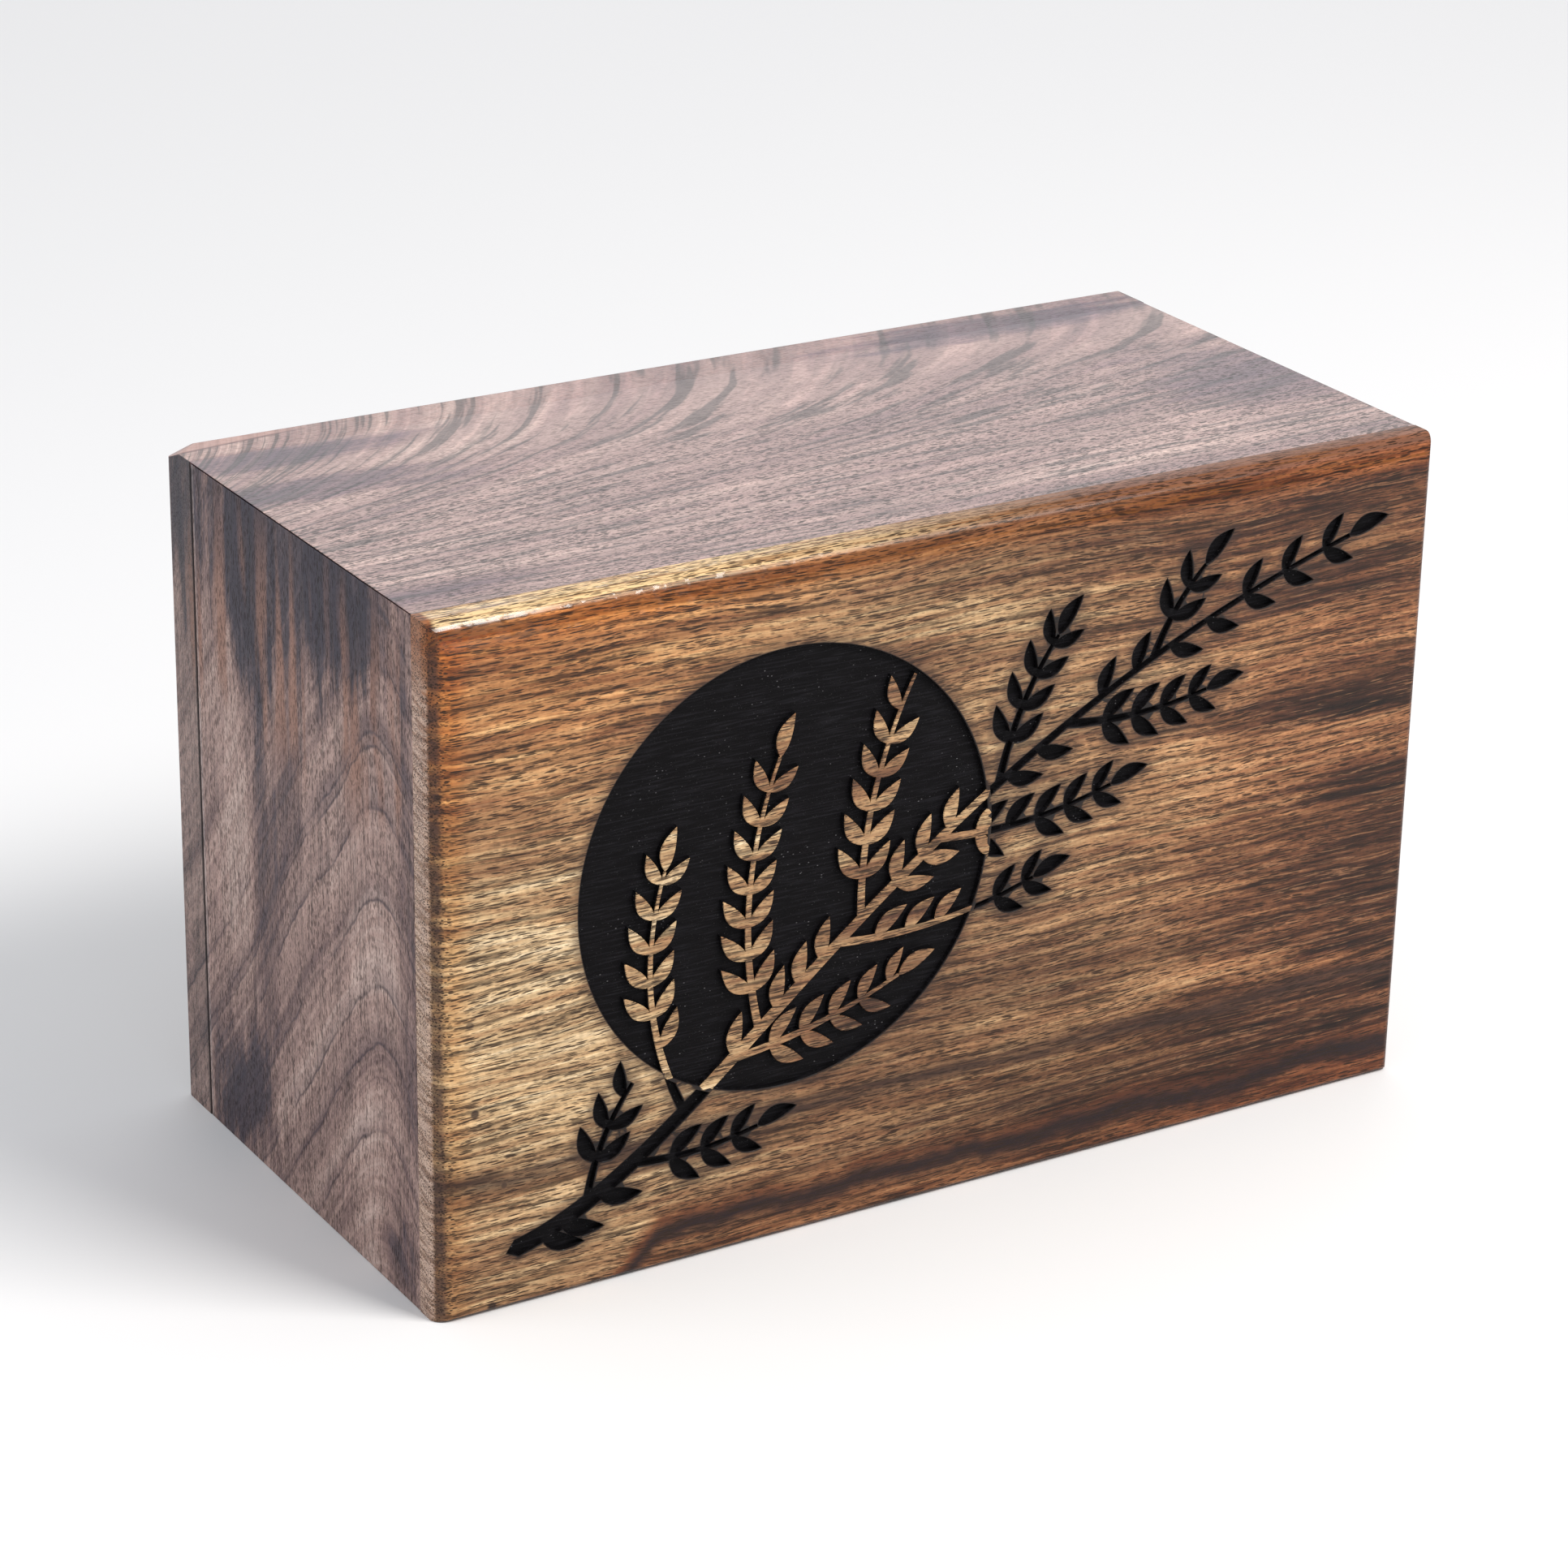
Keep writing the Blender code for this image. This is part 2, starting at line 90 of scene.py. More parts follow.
class Wire:
    """One value in a shader graph, with arithmetic that adds Math nodes."""

    def __init__(self, graph: "Graph", socket: bpy.types.NodeSocket) -> None:
        """Keep the graph that nodes are added to, and the output that the value comes from."""
        self.graph = graph
        self.socket = socket

    def __add__(self, other: "Wire | float") -> "Wire":
        """Return this value plus another."""
        return self.graph.math("ADD", self, other)

    def __radd__(self, other: float) -> "Wire":
        """Return a number plus this value."""
        return self.graph.math("ADD", other, self)

    def __sub__(self, other: "Wire | float") -> "Wire":
        """Return this value minus another."""
        return self.graph.math("SUBTRACT", self, other)

    def __rsub__(self, other: float) -> "Wire":
        """Return a number minus this value."""
        return self.graph.math("SUBTRACT", other, self)

    def __mul__(self, other: "Wire | float") -> "Wire":
        """Return this value times another."""
        return self.graph.math("MULTIPLY", self, other)

    def __rmul__(self, other: float) -> "Wire":
        """Return a number times this value."""
        return self.graph.math("MULTIPLY", other, self)

    def __truediv__(self, other: "Wire | float") -> "Wire":
        """Return this value divided by another."""
        return self.graph.math("DIVIDE", self, other)

    def __abs__(self) -> "Wire":
        """Return this value without its sign."""
        return self.graph.math("ABSOLUTE", self, 0.0)

    def __pow__(self, power: float) -> "Wire":
        """Return this value to a power."""
        return self.graph.math("POWER", self, power)

    def root(self) -> "Wire":
        """Return this value's square root."""
        return self.graph.math("SQRT", self, 0.0)

    def at_most(self, other: "Wire | float") -> "Wire":
        """Return the smaller of this value and another."""
        return self.graph.math("MINIMUM", self, other)

    def at_least(self, other: "Wire | float") -> "Wire":
        """Return the larger of this value and another."""
        return self.graph.math("MAXIMUM", self, other)

    def step(self, low: float, high: float) -> "Wire":
        """Return a soft step from 0 at low to 1 at high, or down where low is above high.

        Args:
            low: The value where the step is 0.
            high: The value where the step is 1.

        Returns:
            The stepped value.
        """
        settings = {"interpolation_type": "SMOOTHSTEP"}
        if low <= high:
            values = {"Value": self, "From Min": low, "From Max": high, "To Min": 0.0, "To Max": 1.0}
        else:
            values = {"Value": self, "From Min": high, "From Max": low, "To Min": 1.0, "To Max": 0.0}
        return self.graph.wire("ShaderNodeMapRange", settings, values, "Result")

    def bump_at(self, middle: float, reach: float) -> "Wire":
        """Return a soft hump that is 1 at middle and 0 beyond reach on either side."""
        return abs(self - middle).step(reach, 0.0)


class Graph:
    """A material's node tree, built from Python expressions."""

    def __init__(self, name: str) -> None:
        """Start a new material with an empty tree.

        Args:
            name: The material's name.
        """
        self.material = bpy.data.materials.new(name)
        self.material.use_nodes = True
        self.tree = self.material.node_tree
        self.tree.nodes.clear()

    @staticmethod
    def find(sockets: bpy.types.bpy_prop_collection, key: str | int) -> bpy.types.NodeSocket:
        """Return a socket by its identifier, its name or its number.

        Args:
            sockets: A node's inputs or outputs.
            key: The identifier, name or number.

        Returns:
            The socket.
        """
        if isinstance(key, int):
            return sockets[key]
        for socket in sockets:
            if socket.identifier == key:
                return socket
        return sockets[key]

    def node(self, kind: str, settings: dict, values: dict) -> bpy.types.Node:
        """Add one node, set it up, and give its inputs values or links.

        Args:
            kind: The node's type.
            settings: Properties that are set first; "stops" holds a ramp's colour stops.
            values: Input sockets and what each one gets: a number, a tuple or a Wire.

        Returns:
            The new node.
        """
        node = self.tree.nodes.new(kind)
        for name, setting in settings.items():
            if name == "stops":
                self.set_stops(node.color_ramp, setting)
            else:
                setattr(node, name, setting)
        for key, value in values.items():
            socket = self.find(node.inputs, key)
            if isinstance(value, Wire):
                self.tree.links.new(value.socket, socket)
            else:
                socket.default_value = value
        return node

    @staticmethod
    def set_stops(ramp: bpy.types.ColorRamp, stops: list[tuple[float, Colour]]) -> None:
        """Give a colour ramp its stops.

        Args:
            ramp: The ramp.
            stops: Positions from 0 to 1 with their colours, in rising order.
        """
        while len(ramp.elements) < len(stops):
            ramp.elements.new(1.0)
        for element, (position, colour) in zip(ramp.elements, stops):
            element.position = position
            element.color = (*colour, 1.0)

    def wire(self, kind: str, settings: dict, values: dict, output: str | int) -> Wire:
        """Add one node and return one of its outputs."""
        return Wire(self, self.find(self.node(kind, settings, values).outputs, output))

    def math(self, operation: str, first: Wire | float, second: Wire | float) -> Wire:
        """Add a Math node and return its result."""
        return self.wire("ShaderNodeMath", {"operation": operation}, {0: first, 1: second}, 0)

    def vector(self, x: Wire | float, y: Wire | float, z: Wire | float) -> Wire:
        """Return a vector made of three values."""
        return self.wire("ShaderNodeCombineXYZ", {}, {"X": x, "Y": y, "Z": z}, "Vector")

    def millimetres(self) -> tuple[Wire, Wire, Wire]:
        """Return the place on the piece in millimetres, as three values."""
        place = self.wire("ShaderNodeTexCoord", {}, {}, "Object")
        scaled = self.wire(
            "ShaderNodeVectorMath", {"operation": "SCALE"}, {"Vector": place, "Scale": 1000.0}, "Vector"
        )
        parts = self.node("ShaderNodeSeparateXYZ", {}, {"Vector": scaled})
        return tuple(Wire(self, parts.outputs[name]) for name in "XYZ")

    def noise(self, vector: Wire, detail: float = 2.0, roughness: float = 0.5) -> Wire:
        """Return soft noise from about 0.2 to 0.8 at a scale of 1, with finer layers in it."""
        values = {"Vector": vector, "Scale": 1.0, "Detail": detail, "Roughness": roughness}
        return self.wire("ShaderNodeTexNoise", {"noise_dimensions": "3D"}, values, 0)

    def cells(self, vector: Wire) -> Wire:
        """Return the distance to the nearest of scattered points, one in each unit cell."""
        settings = {"voronoi_dimensions": "3D", "feature": "F1"}
        return self.wire("ShaderNodeTexVoronoi", settings, {"Vector": vector, "Scale": 1.0}, "Distance")

    def attribute(self, name: str) -> Wire:
        """Return a number that is stored on the mesh."""
        return self.wire("ShaderNodeAttribute", {"attribute_name": name}, {}, "Fac")

    def ramp(self, factor: Wire, stops: list[tuple[float, Colour]]) -> Wire:
        """Return a colour picked along a row of stops."""
        return self.wire("ShaderNodeValToRGB", {"stops": stops}, {"Fac": factor}, "Color")

    def mix(
        self, factor: Wire | float, first: Wire | Colour, second: Wire | Colour, blend: str = "MIX"
    ) -> Wire:
        """Return a mix of two colours.

        Args:
            factor: The share of the second colour.
            first: The colour at 0.
            second: The colour at 1.
            blend: How the second colour acts on the first.

        Returns:
            The mixed colour.
        """
        colours = [value if isinstance(value, Wire) else (*value, 1.0) for value in (first, second)]
        values = {"Factor_Float": factor, "A_Color": colours[0], "B_Color": colours[1]}
        settings = {"data_type": "RGBA", "blend_type": blend, "clamp_factor": True}
        return self.wire("ShaderNodeMix", settings, values, "Result_Color")

    def shade(self, colour: Wire, brightness: Wire | float) -> Wire:
        """Return a colour multiplied by a brightness."""
        values = {0: colour, "Scale": brightness}
        return self.wire("ShaderNodeVectorMath", {"operation": "SCALE"}, values, "Vector")

    def bump(self, height: Wire, strength: float, distance: float) -> Wire:
        """Return a normal tilted by a height, which stands for distance metres where it is 1."""
        values = {"Strength": strength, "Distance": distance, "Height": height}
        return self.wire("ShaderNodeBump", {}, values, "Normal")

    def finish(self, values: dict) -> bpy.types.Material:
        """Add the Principled shader and the output, and return the material.

        Args:
            values: The shader's inputs.

        Returns:
            The finished material.
        """
        shader = self.wire("ShaderNodeBsdfPrincipled", {}, values, "BSDF")
        self.node("ShaderNodeOutputMaterial", {}, {"Surface": shader})
        return self.material


@dataclass(frozen=True)
class Blot:
    """A soft light or dark area of a board's face, in millimetres."""

    across: float
    up: float
    wide: float
    tall: float
    change: float


@dataclass(frozen=True)
class Wood:
    """Lacquered wood, cut from a block whose grain runs along one axis.

    Lengths are in millimetres. The ramp's stops run from the darkest streaks to the
    lightest ones.
    """

    name: str
    grain: Grain
    stops: tuple[tuple[float, Colour], ...]
    figure: Figure = Figure.STRAIGHT
    band_width: float = 11.0
    band_length: float = 110.0
    contrast: float = 1.5
    fine_share: float = 0.32
    level: float = 0.5
    pore_width: float = 0.42
    pore_length: float = 2.6
    pore_depth: float = 0.72
    pore_colour: Colour = (0.018, 0.010, 0.009)
    sway: float = 7.0
    streaks: float = 0.35
    ripple: float = 0.12
    gloss: float = 0.3
    gloss_roughness: float = 0.14
    sheen_level: float = 0.1
    base_roughness: float = 0.42
    seed: float = 0.0
    area_share: float = 1.0
    blots: tuple[Blot, ...] = ()

    def face_plane(self, place: Place) -> tuple[Wire, Wire]:
        """Return the two values that the blots are placed by: across and up the face."""
        return place[0], place[2]

    def spread(self, graph: Graph) -> tuple[Wire, Wire, Wire]:
        """Return the place as (along the grain, across the growth lines, third way).

        Args:
            graph: The graph that the nodes are added to.

        Returns:
            The three values in millimetres.
        """
        x, y, z = graph.millimetres()
        if self.grain is Grain.UPRIGHT:
            along, across, third = z, y, x
        elif self.figure is Figure.SWEEPING:
            along, across, third = x, y, z
        else:
            along, across, third = x, z, y
        slow = graph.noise(graph.vector(along / 90.0 + self.seed, across / 34.0, third / 30.0), 1.0)
        quick = graph.noise(graph.vector(along / 16.0, across / 7.0 + self.seed, third / 8.0), 2.0)
        swayed = across + (slow - 0.5) * self.sway + (quick - 0.5) * self.sway / 6.0
        return along, swayed, third

    def rings(self, graph: Graph, along: Wire, across: Wire) -> Wire:
        """Return a value that stays the same along each growth line of the broad face.

        Args:
            graph: The graph that the nodes are added to.
            along: The place along the grain.
            across: The place across it.

        Returns:
            The growth lines' own coordinate.
        """
        if self.figure is Figure.CATHEDRAL:
            reach = across + 40.0
            limb = (reach * reach + 100.0).root() - 10.0
            return along + limb * 1.28
        if self.figure is Figure.SWEEPING:
            rise = graph.math("EXPONENT", across / -25.0, 0.0)
            return graph.math("LOGARITHM", (along + 140.0) / 5.0 + rise * 25.0, math.e) * 25.0
        return across

    def flow(self, graph: Graph, along: Wire, across: Wire) -> Wire:
        """Return what the thin lines keep to: the grain, or the growth lines."""
        return self.rings(graph, along, across) if self.figure is Figure.SWEEPING else across

    def coat(self, graph: Graph, place: Place) -> Wire | float:
        """Return how strongly the lacquer shines; it is even on plain boards."""
        return self.gloss

    def tone(self, graph: Graph, along: Wire, across: Wire, third: Wire) -> Wire:
        """Return the streaks of the wood, from about -0.5 for dark to 0.5 for light.

        Args:
            graph: The graph that the nodes are added to.
            along: The place along the grain.
            across: The place across it.
            third: The place through the board.

        Returns:
            The tone.
        """
        ring = self.rings(graph, along, across)
        straight = self.figure is Figure.STRAIGHT
        run = along / self.band_length if straight else along / (self.band_length * 2.0)
        broad = graph.noise(graph.vector(run + self.seed, ring / self.band_width, third / 16.0), 3.0, 0.55)
        narrow = self.band_width * 0.17
        fine = graph.noise(graph.vector(run * 2.6, ring / narrow, third / 4.0 + self.seed), 4.0, 0.62)
        fibre = graph.noise(graph.vector(along / 7.0, across / 0.42, third / 0.5), 2.0, 0.7)
        mixed = broad * (0.82 - self.fine_share) + fine * self.fine_share + fibre * 0.18
        return (mixed - 0.5) * self.contrast

    def pores(self, graph: Graph, along: Wire, across: Wire, third: Wire) -> Wire:
        """Return where the open pores show as dashes along the grain.

        Args:
            graph: The graph that the nodes are added to.
            along: The place along the grain.
            across: The place across it.
            third: The place through the board.

        Returns:
            The strength of the dashes, from 0 to 1.
        """
        width, length = self.pore_width, self.pore_length
        deep = third / width
        long_ones = graph.cells(graph.vector(along / (length * 1.9), across / (width * 1.5), deep))
        dashes = graph.cells(graph.vector(along / length + 7.3, across / width + 3.1, deep))
        specks = graph.cells(graph.vector(along / (length * 0.5), across / (width * 0.7) + 9.1, deep))
        patch = graph.noise(graph.vector(along / 22.0, across / 3.2 + 5.0, third / 12.0), 2.0)
        first = long_ones.step(0.32, 0.20) * patch.step(0.38, 0.50)
        second = dashes.step(0.42, 0.28) * patch.step(0.66, 0.48)
        third_kind = specks.step(0.38, 0.22) * 0.7
        return first.at_least(second).at_least(third_kind)

    def marks(self, graph: Graph, colour: Wire, place: Place) -> Wire:
        """Return the colour with the board's own marks; plain boards have none."""
        return colour

    def areas(self, graph: Graph, place: Place) -> Wire | float:
        """Return how far the board's broad light and dark areas move the tone.

        Args:
            graph: The graph that the nodes are added to.
            place: The place on the piece in millimetres.

        Returns:
            The change of tone.
        """
        across, up = self.face_plane(place)
        upright = self.grain is Grain.UPRIGHT
        span, rise = (4.5, 42.0) if upright else (42.0, 4.5)
        frayed = (graph.noise(graph.vector(across / span, up / rise, self.seed), 3.0, 0.6) - 0.5) * 1.5
        total: Wire | float = 0.0
        for blot in self.blots:
            aside = (across - blot.across) / blot.wide
            above = (up - blot.up) / blot.tall
            reach = (aside * aside + above * above).root() + frayed
            total = reach.step(1.0, 0.25) * blot.change + total
        return total

    def paint(self, graph: Graph) -> tuple[Wire, Wire, Wire]:
        """Add the nodes of the wood's colour and relief.

        Args:
            graph: The graph that the nodes are added to.

        Returns:
            The colour, the strength of the pores, and the height for the bump.
        """
        place = graph.millimetres()
        along, across, third = self.spread(graph)
        areas = self.areas(graph, place)
        tone = self.tone(graph, along, across, third) + areas * self.area_share + self.level
        flow = self.flow(graph, along, across)
        pores = self.pores(graph, along, across, third)
        colour = graph.ramp(tone, list(self.stops))
        if self.area_share < 1.0:
            colour = graph.shade(colour, areas.at_most(0.0) * (2.2 * (1.0 - self.area_share)) + 1.0)
        lines = graph.noise(graph.vector(along / 26.0, flow / 0.85, third / 2.0 + self.seed), 2.0, 0.6)
        dark_lines = lines.step(0.48, 0.36) * self.streaks
        pale_lines = lines.step(0.54, 0.68) * (self.streaks * 0.5)
        colour = graph.shade(colour, pale_lines - dark_lines + 1.0)
        if self.area_share < 1.0:
            silk = graph.noise(graph.vector(along / 15.0, across / 0.6 + 40.0, third), 2.0, 0.6)
            colour = graph.mix(silk.step(0.54, 0.66) * 0.42, colour, (0.36, 0.215, 0.115))
        wave = graph.noise(graph.vector(along / 1.3 + across / 9.0, across / 3.0, third / 3.0), 2.0, 0.6)
        colour = graph.shade(colour, (wave - 0.5) * (self.ripple * 4.0) + 1.0)
        colour = self.marks(graph, colour, place)
        colour = graph.mix(pores * self.pore_depth, colour, self.pore_colour)
        return colour, pores, (1.0 - pores) * 0.8 + lines * 0.2

    def material(self) -> bpy.types.Material:
        """Build the material.

        Returns:
            The finished material.
        """
        graph = Graph(self.name)
        colour, pores, height = self.paint(graph)
        return graph.finish(
            {
                "Base Color": colour,
                "Roughness": pores * PORE_ROUGHNESS + self.base_roughness,
                "Specular IOR Level": self.sheen_level,
                "Coat Weight": self.coat(graph, graph.millimetres()),
                "Coat Roughness": self.gloss_roughness,
                "Normal": graph.bump(height, WOOD_BUMP, WOOD_BUMP_HEIGHT),
            }
        )


PITS = (
    (-118.7, 69.0, 1.2, 0.7),
    (-117.7, 48.2, 1.3, 0.85),
    (-114.0, 1.6, 1.3, 0.9),
    (-110.9, 29.8, 0.9, 0.6),
    (-125.0, 121.0, 1.0, 0.7),
    (103.0, 68.0, 0.9, 0.7),
    (112.0, 36.0, 0.7, 0.6),
)


@dataclass(frozen=True)
class FrontWood(Wood):
    """The engraved board's wood: golden at the left, brown and smoky at the right."""

    half_width: float = 127.0
    height: float = 159.0
    face: float = -63.5
    pit_colour: Colour = (0.02, 0.01, 0.01)

    def marks(self, graph: Graph, colour: Wire, place: Place) -> Wire:
        """Return the colour with the dark line, the foot stain, edges, pits and scorching.

        Args:
            graph: The graph that the nodes are added to.
            colour: The colour of the wood.
            place: The place on the piece in millimetres.

        Returns:
            The marked colour.
        """
        x, _, z = place
        colour = graph.mix(x.step(10.0, 110.0) * 0.55, colour, (1.30, 0.92, 0.76), "MULTIPLY")
        honey = x.step(-10.0, -110.0) * z.step(95.0, 150.0)
        colour = graph.mix(honey * 0.75, colour, (1.40, 1.04, 0.70), "MULTIPLY")
        wander = graph.noise(graph.vector(x / 30.0, 4.0, 0.0), 3.0, 0.6) - 0.5
        colour = self.growth_line(graph, colour, place, wander)
        colour = self.foot_stain(graph, colour, place, wander)
        colour = self.upright_edges(graph, colour, place)
        colour = self.top_edge(graph, colour, place)
        for across, up, size, depth in PITS:
            aside = (x - across) / size
            above = (z - up) / size
            pit = (aside * aside + above * above).root().step(1.0, 0.5) * depth
            colour = graph.mix(pit, colour, self.pit_colour)
        return self.scorched(graph, colour, place)

    def growth_line(self, graph: Graph, colour: Wire, place: Place, wander: Wire) -> Wire:
        """Return the colour with the dark growth line across the lower face.

        Args:
            graph: The graph that the nodes are added to.
            colour: The colour of the wood.
            place: The place on the piece in millimetres.
            wander: How far the line strays along the board.

        Returns:
            The marked colour.
        """
        x, _, z = place
        height = z - wander * 5.0 + x * 0.014
        haze = height.bump_at(29.0, 10.0) * 0.5
        colour = graph.mix(haze, colour, (0.62, 0.48, 0.42), "MULTIPLY")
        broken = graph.noise(graph.vector(x / 18.0, z / 1.4, 2.0), 2.0).step(0.3, 0.6)
        line = height.bump_at(30.0, 4.4) * (broken * 0.5 + 0.5) * 0.9
        return graph.mix(line, colour, (0.036, 0.018, 0.014))

    def foot_stain(self, graph: Graph, colour: Wire, place: Place, wander: Wire) -> Wire:
        """Return the colour with the dark stain along the foot and its reddish fringe.

        Args:
            graph: The graph that the nodes are added to.
            colour: The colour of the wood.
            place: The place on the piece in millimetres.
            wander: How far the stain's edge strays along the board.

        Returns:
            The marked colour.
        """
        x, _, z = place
        edge = z - 10.8 - wander * 12.0 + x.step(-70.0, -93.0) * 16.0
        frayed = edge + (graph.noise(graph.vector(x / 5.0, z / 1.0, 0.0), 2.0) - 0.5) * 3.0
        colour = graph.mix(frayed.step(6.0, 0.6) * 0.85, colour, (0.60, 0.40, 0.33), "MULTIPLY")
        fringe = frayed.step(2.4, 0.4) * frayed.step(-2.5, 0.0)
        colour = graph.mix(fringe * (x.step(0.0, -70.0) * 0.35 + 0.4), colour, (0.18, 0.055, 0.019))
        return graph.mix(frayed.bump_at(-2.4, 5.0) * 0.95, colour, (0.015, 0.008, 0.010))

    def upright_edges(self, graph: Graph, colour: Wire, place: Place) -> Wire:
        """Return the colour with the left edge's stain and strips, and the right edge's shade.

        Args:
            graph: The graph that the nodes are added to.
            colour: The colour of the wood.
            place: The place on the piece in millimetres.

        Returns:
            The marked colour.
        """
        x, y, z = place
        inward = x + self.half_width
        turn = y - self.face
        stained = inward.step(10.5, 4.5) * (z.step(60.0, 150.0) * 0.45 + 0.5)
        colour = graph.mix(stained, colour, (1.0, 0.76, 0.50), "MULTIPLY")
        slant = z - y * 0.24
        patches = graph.noise(graph.vector(y / 9.0, slant / 5.0, 6.0), 3.0, 0.6).step(0.32, 0.60)
        dark_strip = inward.step(4.6, 2.0) * turn.step(3.0, 2.0) * turn.step(0.3, 1.2)
        colour = graph.mix(dark_strip * (patches * 0.45 + 0.42), colour, (0.052, 0.028, 0.024))
        rays = graph.noise(graph.vector(y / 7.0, slant / 1.1, 1.0), 2.0, 0.5).step(0.34, 0.60)
        pale = graph.mix(rays, (0.24, 0.145, 0.105), (0.54, 0.385, 0.305))
        pale = graph.mix(z.step(138.0, 150.0) * 0.75, pale, (0.24, 0.10, 0.045))
        pale_strip = inward.step(1.9, 0.9) * turn.step(2.0, 2.8) * 0.85
        colour = graph.mix(pale_strip, colour, pale)
        right_bend = (self.half_width - x) + turn
        return graph.mix(right_bend.step(3.0, 1.5) * 0.5, colour, (0.10, 0.045, 0.030))

    def top_edge(self, graph: Graph, colour: Wire, place: Place) -> Wire:
        """Return the colour with the honey area and the golden strip of the top rounding, whose bright gold
        at the left is partly a painted highlight.

        Args:
            graph: The graph that the nodes are added to.
            colour: The colour of the wood.
            place: The place on the piece in millimetres.

        Returns:
            The marked colour.
        """
        x, y, z = place
        down = self.height - z
        bend = (y - self.face) - down
        at_left = x.step(45.0, -80.0)
        lower = graph.mix(at_left, (0.66, 0.44, 0.36), (1.02, 0.74, 0.47))
        colour = graph.mix(down.step(12.0, 4.0) * 0.85, colour, lower, "MULTIPLY")
        # Upper strip of the rounding: golden wood at the left and reddish brown to the right; its bright gold
        # at the left is partly a painted highlight.
        amber_and_painted_highlight = graph.mix(at_left, (0.20, 0.088, 0.052), (1.0, 0.74, 0.39))
        inside = (x + self.half_width).step(1.2, 2.8)
        upper = bend.step(-1.2, 1.4) * down.step(6.5, 5.5) * inside
        colour = graph.mix(upper * 0.72, colour, amber_and_painted_highlight)
        threads = graph.noise(graph.vector(x / 34.0, bend / 0.8, 3.0), 2.0, 0.6).step(0.52, 0.40)
        return graph.mix(down.step(8.0, 4.0) * threads * 0.7, colour, (0.20, 0.070, 0.018))

    def scorched(self, graph: Graph, colour: Wire, place: Place) -> Wire:
        """Return the colour with the wood browned and burnt beside the cuts.

        Args:
            graph: The graph that the nodes are added to.
            colour: The colour of the wood.
            place: The place on the piece in millimetres.

        Returns:
            The marked colour.
        """
        x, y, z = place
        burn = graph.attribute("scorch_gap") * 1000.0
        soft = (graph.noise(graph.vector(x / 3.0, y / 3.0, z / 2.0), 2.0) - 0.5) * 1.6
        colour = graph.mix((burn + soft).step(3.2, 0.2) * 0.6, colour, (0.040, 0.020, 0.014))
        return graph.mix(burn.step(0.42, 0.10), colour, (0.008, 0.006, 0.006))

    def coat(self, graph: Graph, place: Place) -> Wire | float:
        """Return the lacquer's shine: wet patches on the top rounding, most at the left.

        Args:
            graph: The graph that the nodes are added to.
            place: The place on the piece in millimetres.

        Returns:
            The strength of the shine.
        """
        x, y, z = place
        rim = ((self.height - z) + (y - self.face)).step(7.5, 5.0) * x.step(-125.4, -123.8)
        wet = graph.noise(graph.vector(x / 2.6, y / 2.0, z / 2.0), 3.0, 0.6)
        near = x.step(-92.0, -112.0) * wet.step(0.30, 0.50)
        glints = x.step(0.0, -100.0) * wet.step(0.55, 0.62)
        return rim * near.at_least(glints) * (1.0 - self.gloss) + (1.0 - rim * 0.6) * self.gloss


@dataclass(frozen=True)
class SideWood(Wood):
    """The side boards' wood: slate and warm brown streaks with arched growth lines."""

    lines: tuple[float, ...] = (144.0, 127.0, 124.0, 110.5, 89.8, 70.0, 56.5, 36.0)
    seam: float = 50.9

    def face_plane(self, place: Place) -> tuple[Wire, Wire]:
        """Return the place from front to back and up the side."""
        return place[1], place[2]

    def marks(self, graph: Graph, colour: Wire, place: Place) -> Wire:
        """Return the colour with thin dark growth lines, warm streaks at the top, and a painted highlight and
        painted shade at the rear seam.

        Args:
            graph: The graph that the nodes are added to.
            colour: The colour of the wood.
            place: The place on the piece in millimetres.

        Returns:
            The marked colour.
        """
        _, y, z = place
        streak = graph.noise(graph.vector(0.0, y / 7.0 + 2.2, z / 70.0), 2.0, 0.5).step(0.48, 0.62)
        warm = streak * z.step(96.0, 118.0) * z.step(170.0, 125.0)
        colour = graph.mix(warm * 0.8, colour, (0.265, 0.128, 0.086))
        _, across, _ = self.spread(graph)
        wobble = (graph.noise(graph.vector(0.0, y / 5.0, z / 5.0), 2.0) - 0.5) * 3.0
        ring = self.rings(graph, z + wobble, across)
        clear = graph.noise(graph.vector(0.0, y / 16.0, z / 16.0 + 4.0), 1.0).step(0.30, 0.62)
        for line in self.lines:
            trail = (ring - line).step(9.0, 0.0) * (ring - line).step(-0.6, 0.2)
            colour = graph.mix(trail * clear * 0.40, colour, (0.070, 0.045, 0.056))
            colour = graph.mix(ring.bump_at(line, 0.8) * clear * 0.75, colour, (0.040, 0.026, 0.034))
        # A painted highlight on the edge in front of the rear seam, and painted shade in the seam's gap.
        colour = graph.mix(y.bump_at(self.seam - 1.1, 0.6) * 0.45, colour, (0.42, 0.36, 0.35))
        return graph.mix(y.bump_at(self.seam, 0.75) ** 0.6, colour, (0.006, 0.005, 0.007))


@dataclass(frozen=True)
class TopWood(Wood):
    """The top board's wood: rose brown under a hazy lacquer, with sweeping growth lines."""

    def face_plane(self, place: Place) -> tuple[Wire, Wire]:
        """Return the place from left to right and from front to back."""
        return place[0], place[1]

    def pores(self, graph: Graph, along: Wire, across: Wire, third: Wire) -> Wire:
        """Return the pores, which show less towards the back of the top."""
        return super().pores(graph, along, across, third) * (across.step(50.0, -10.0) * 0.65 + 0.35)


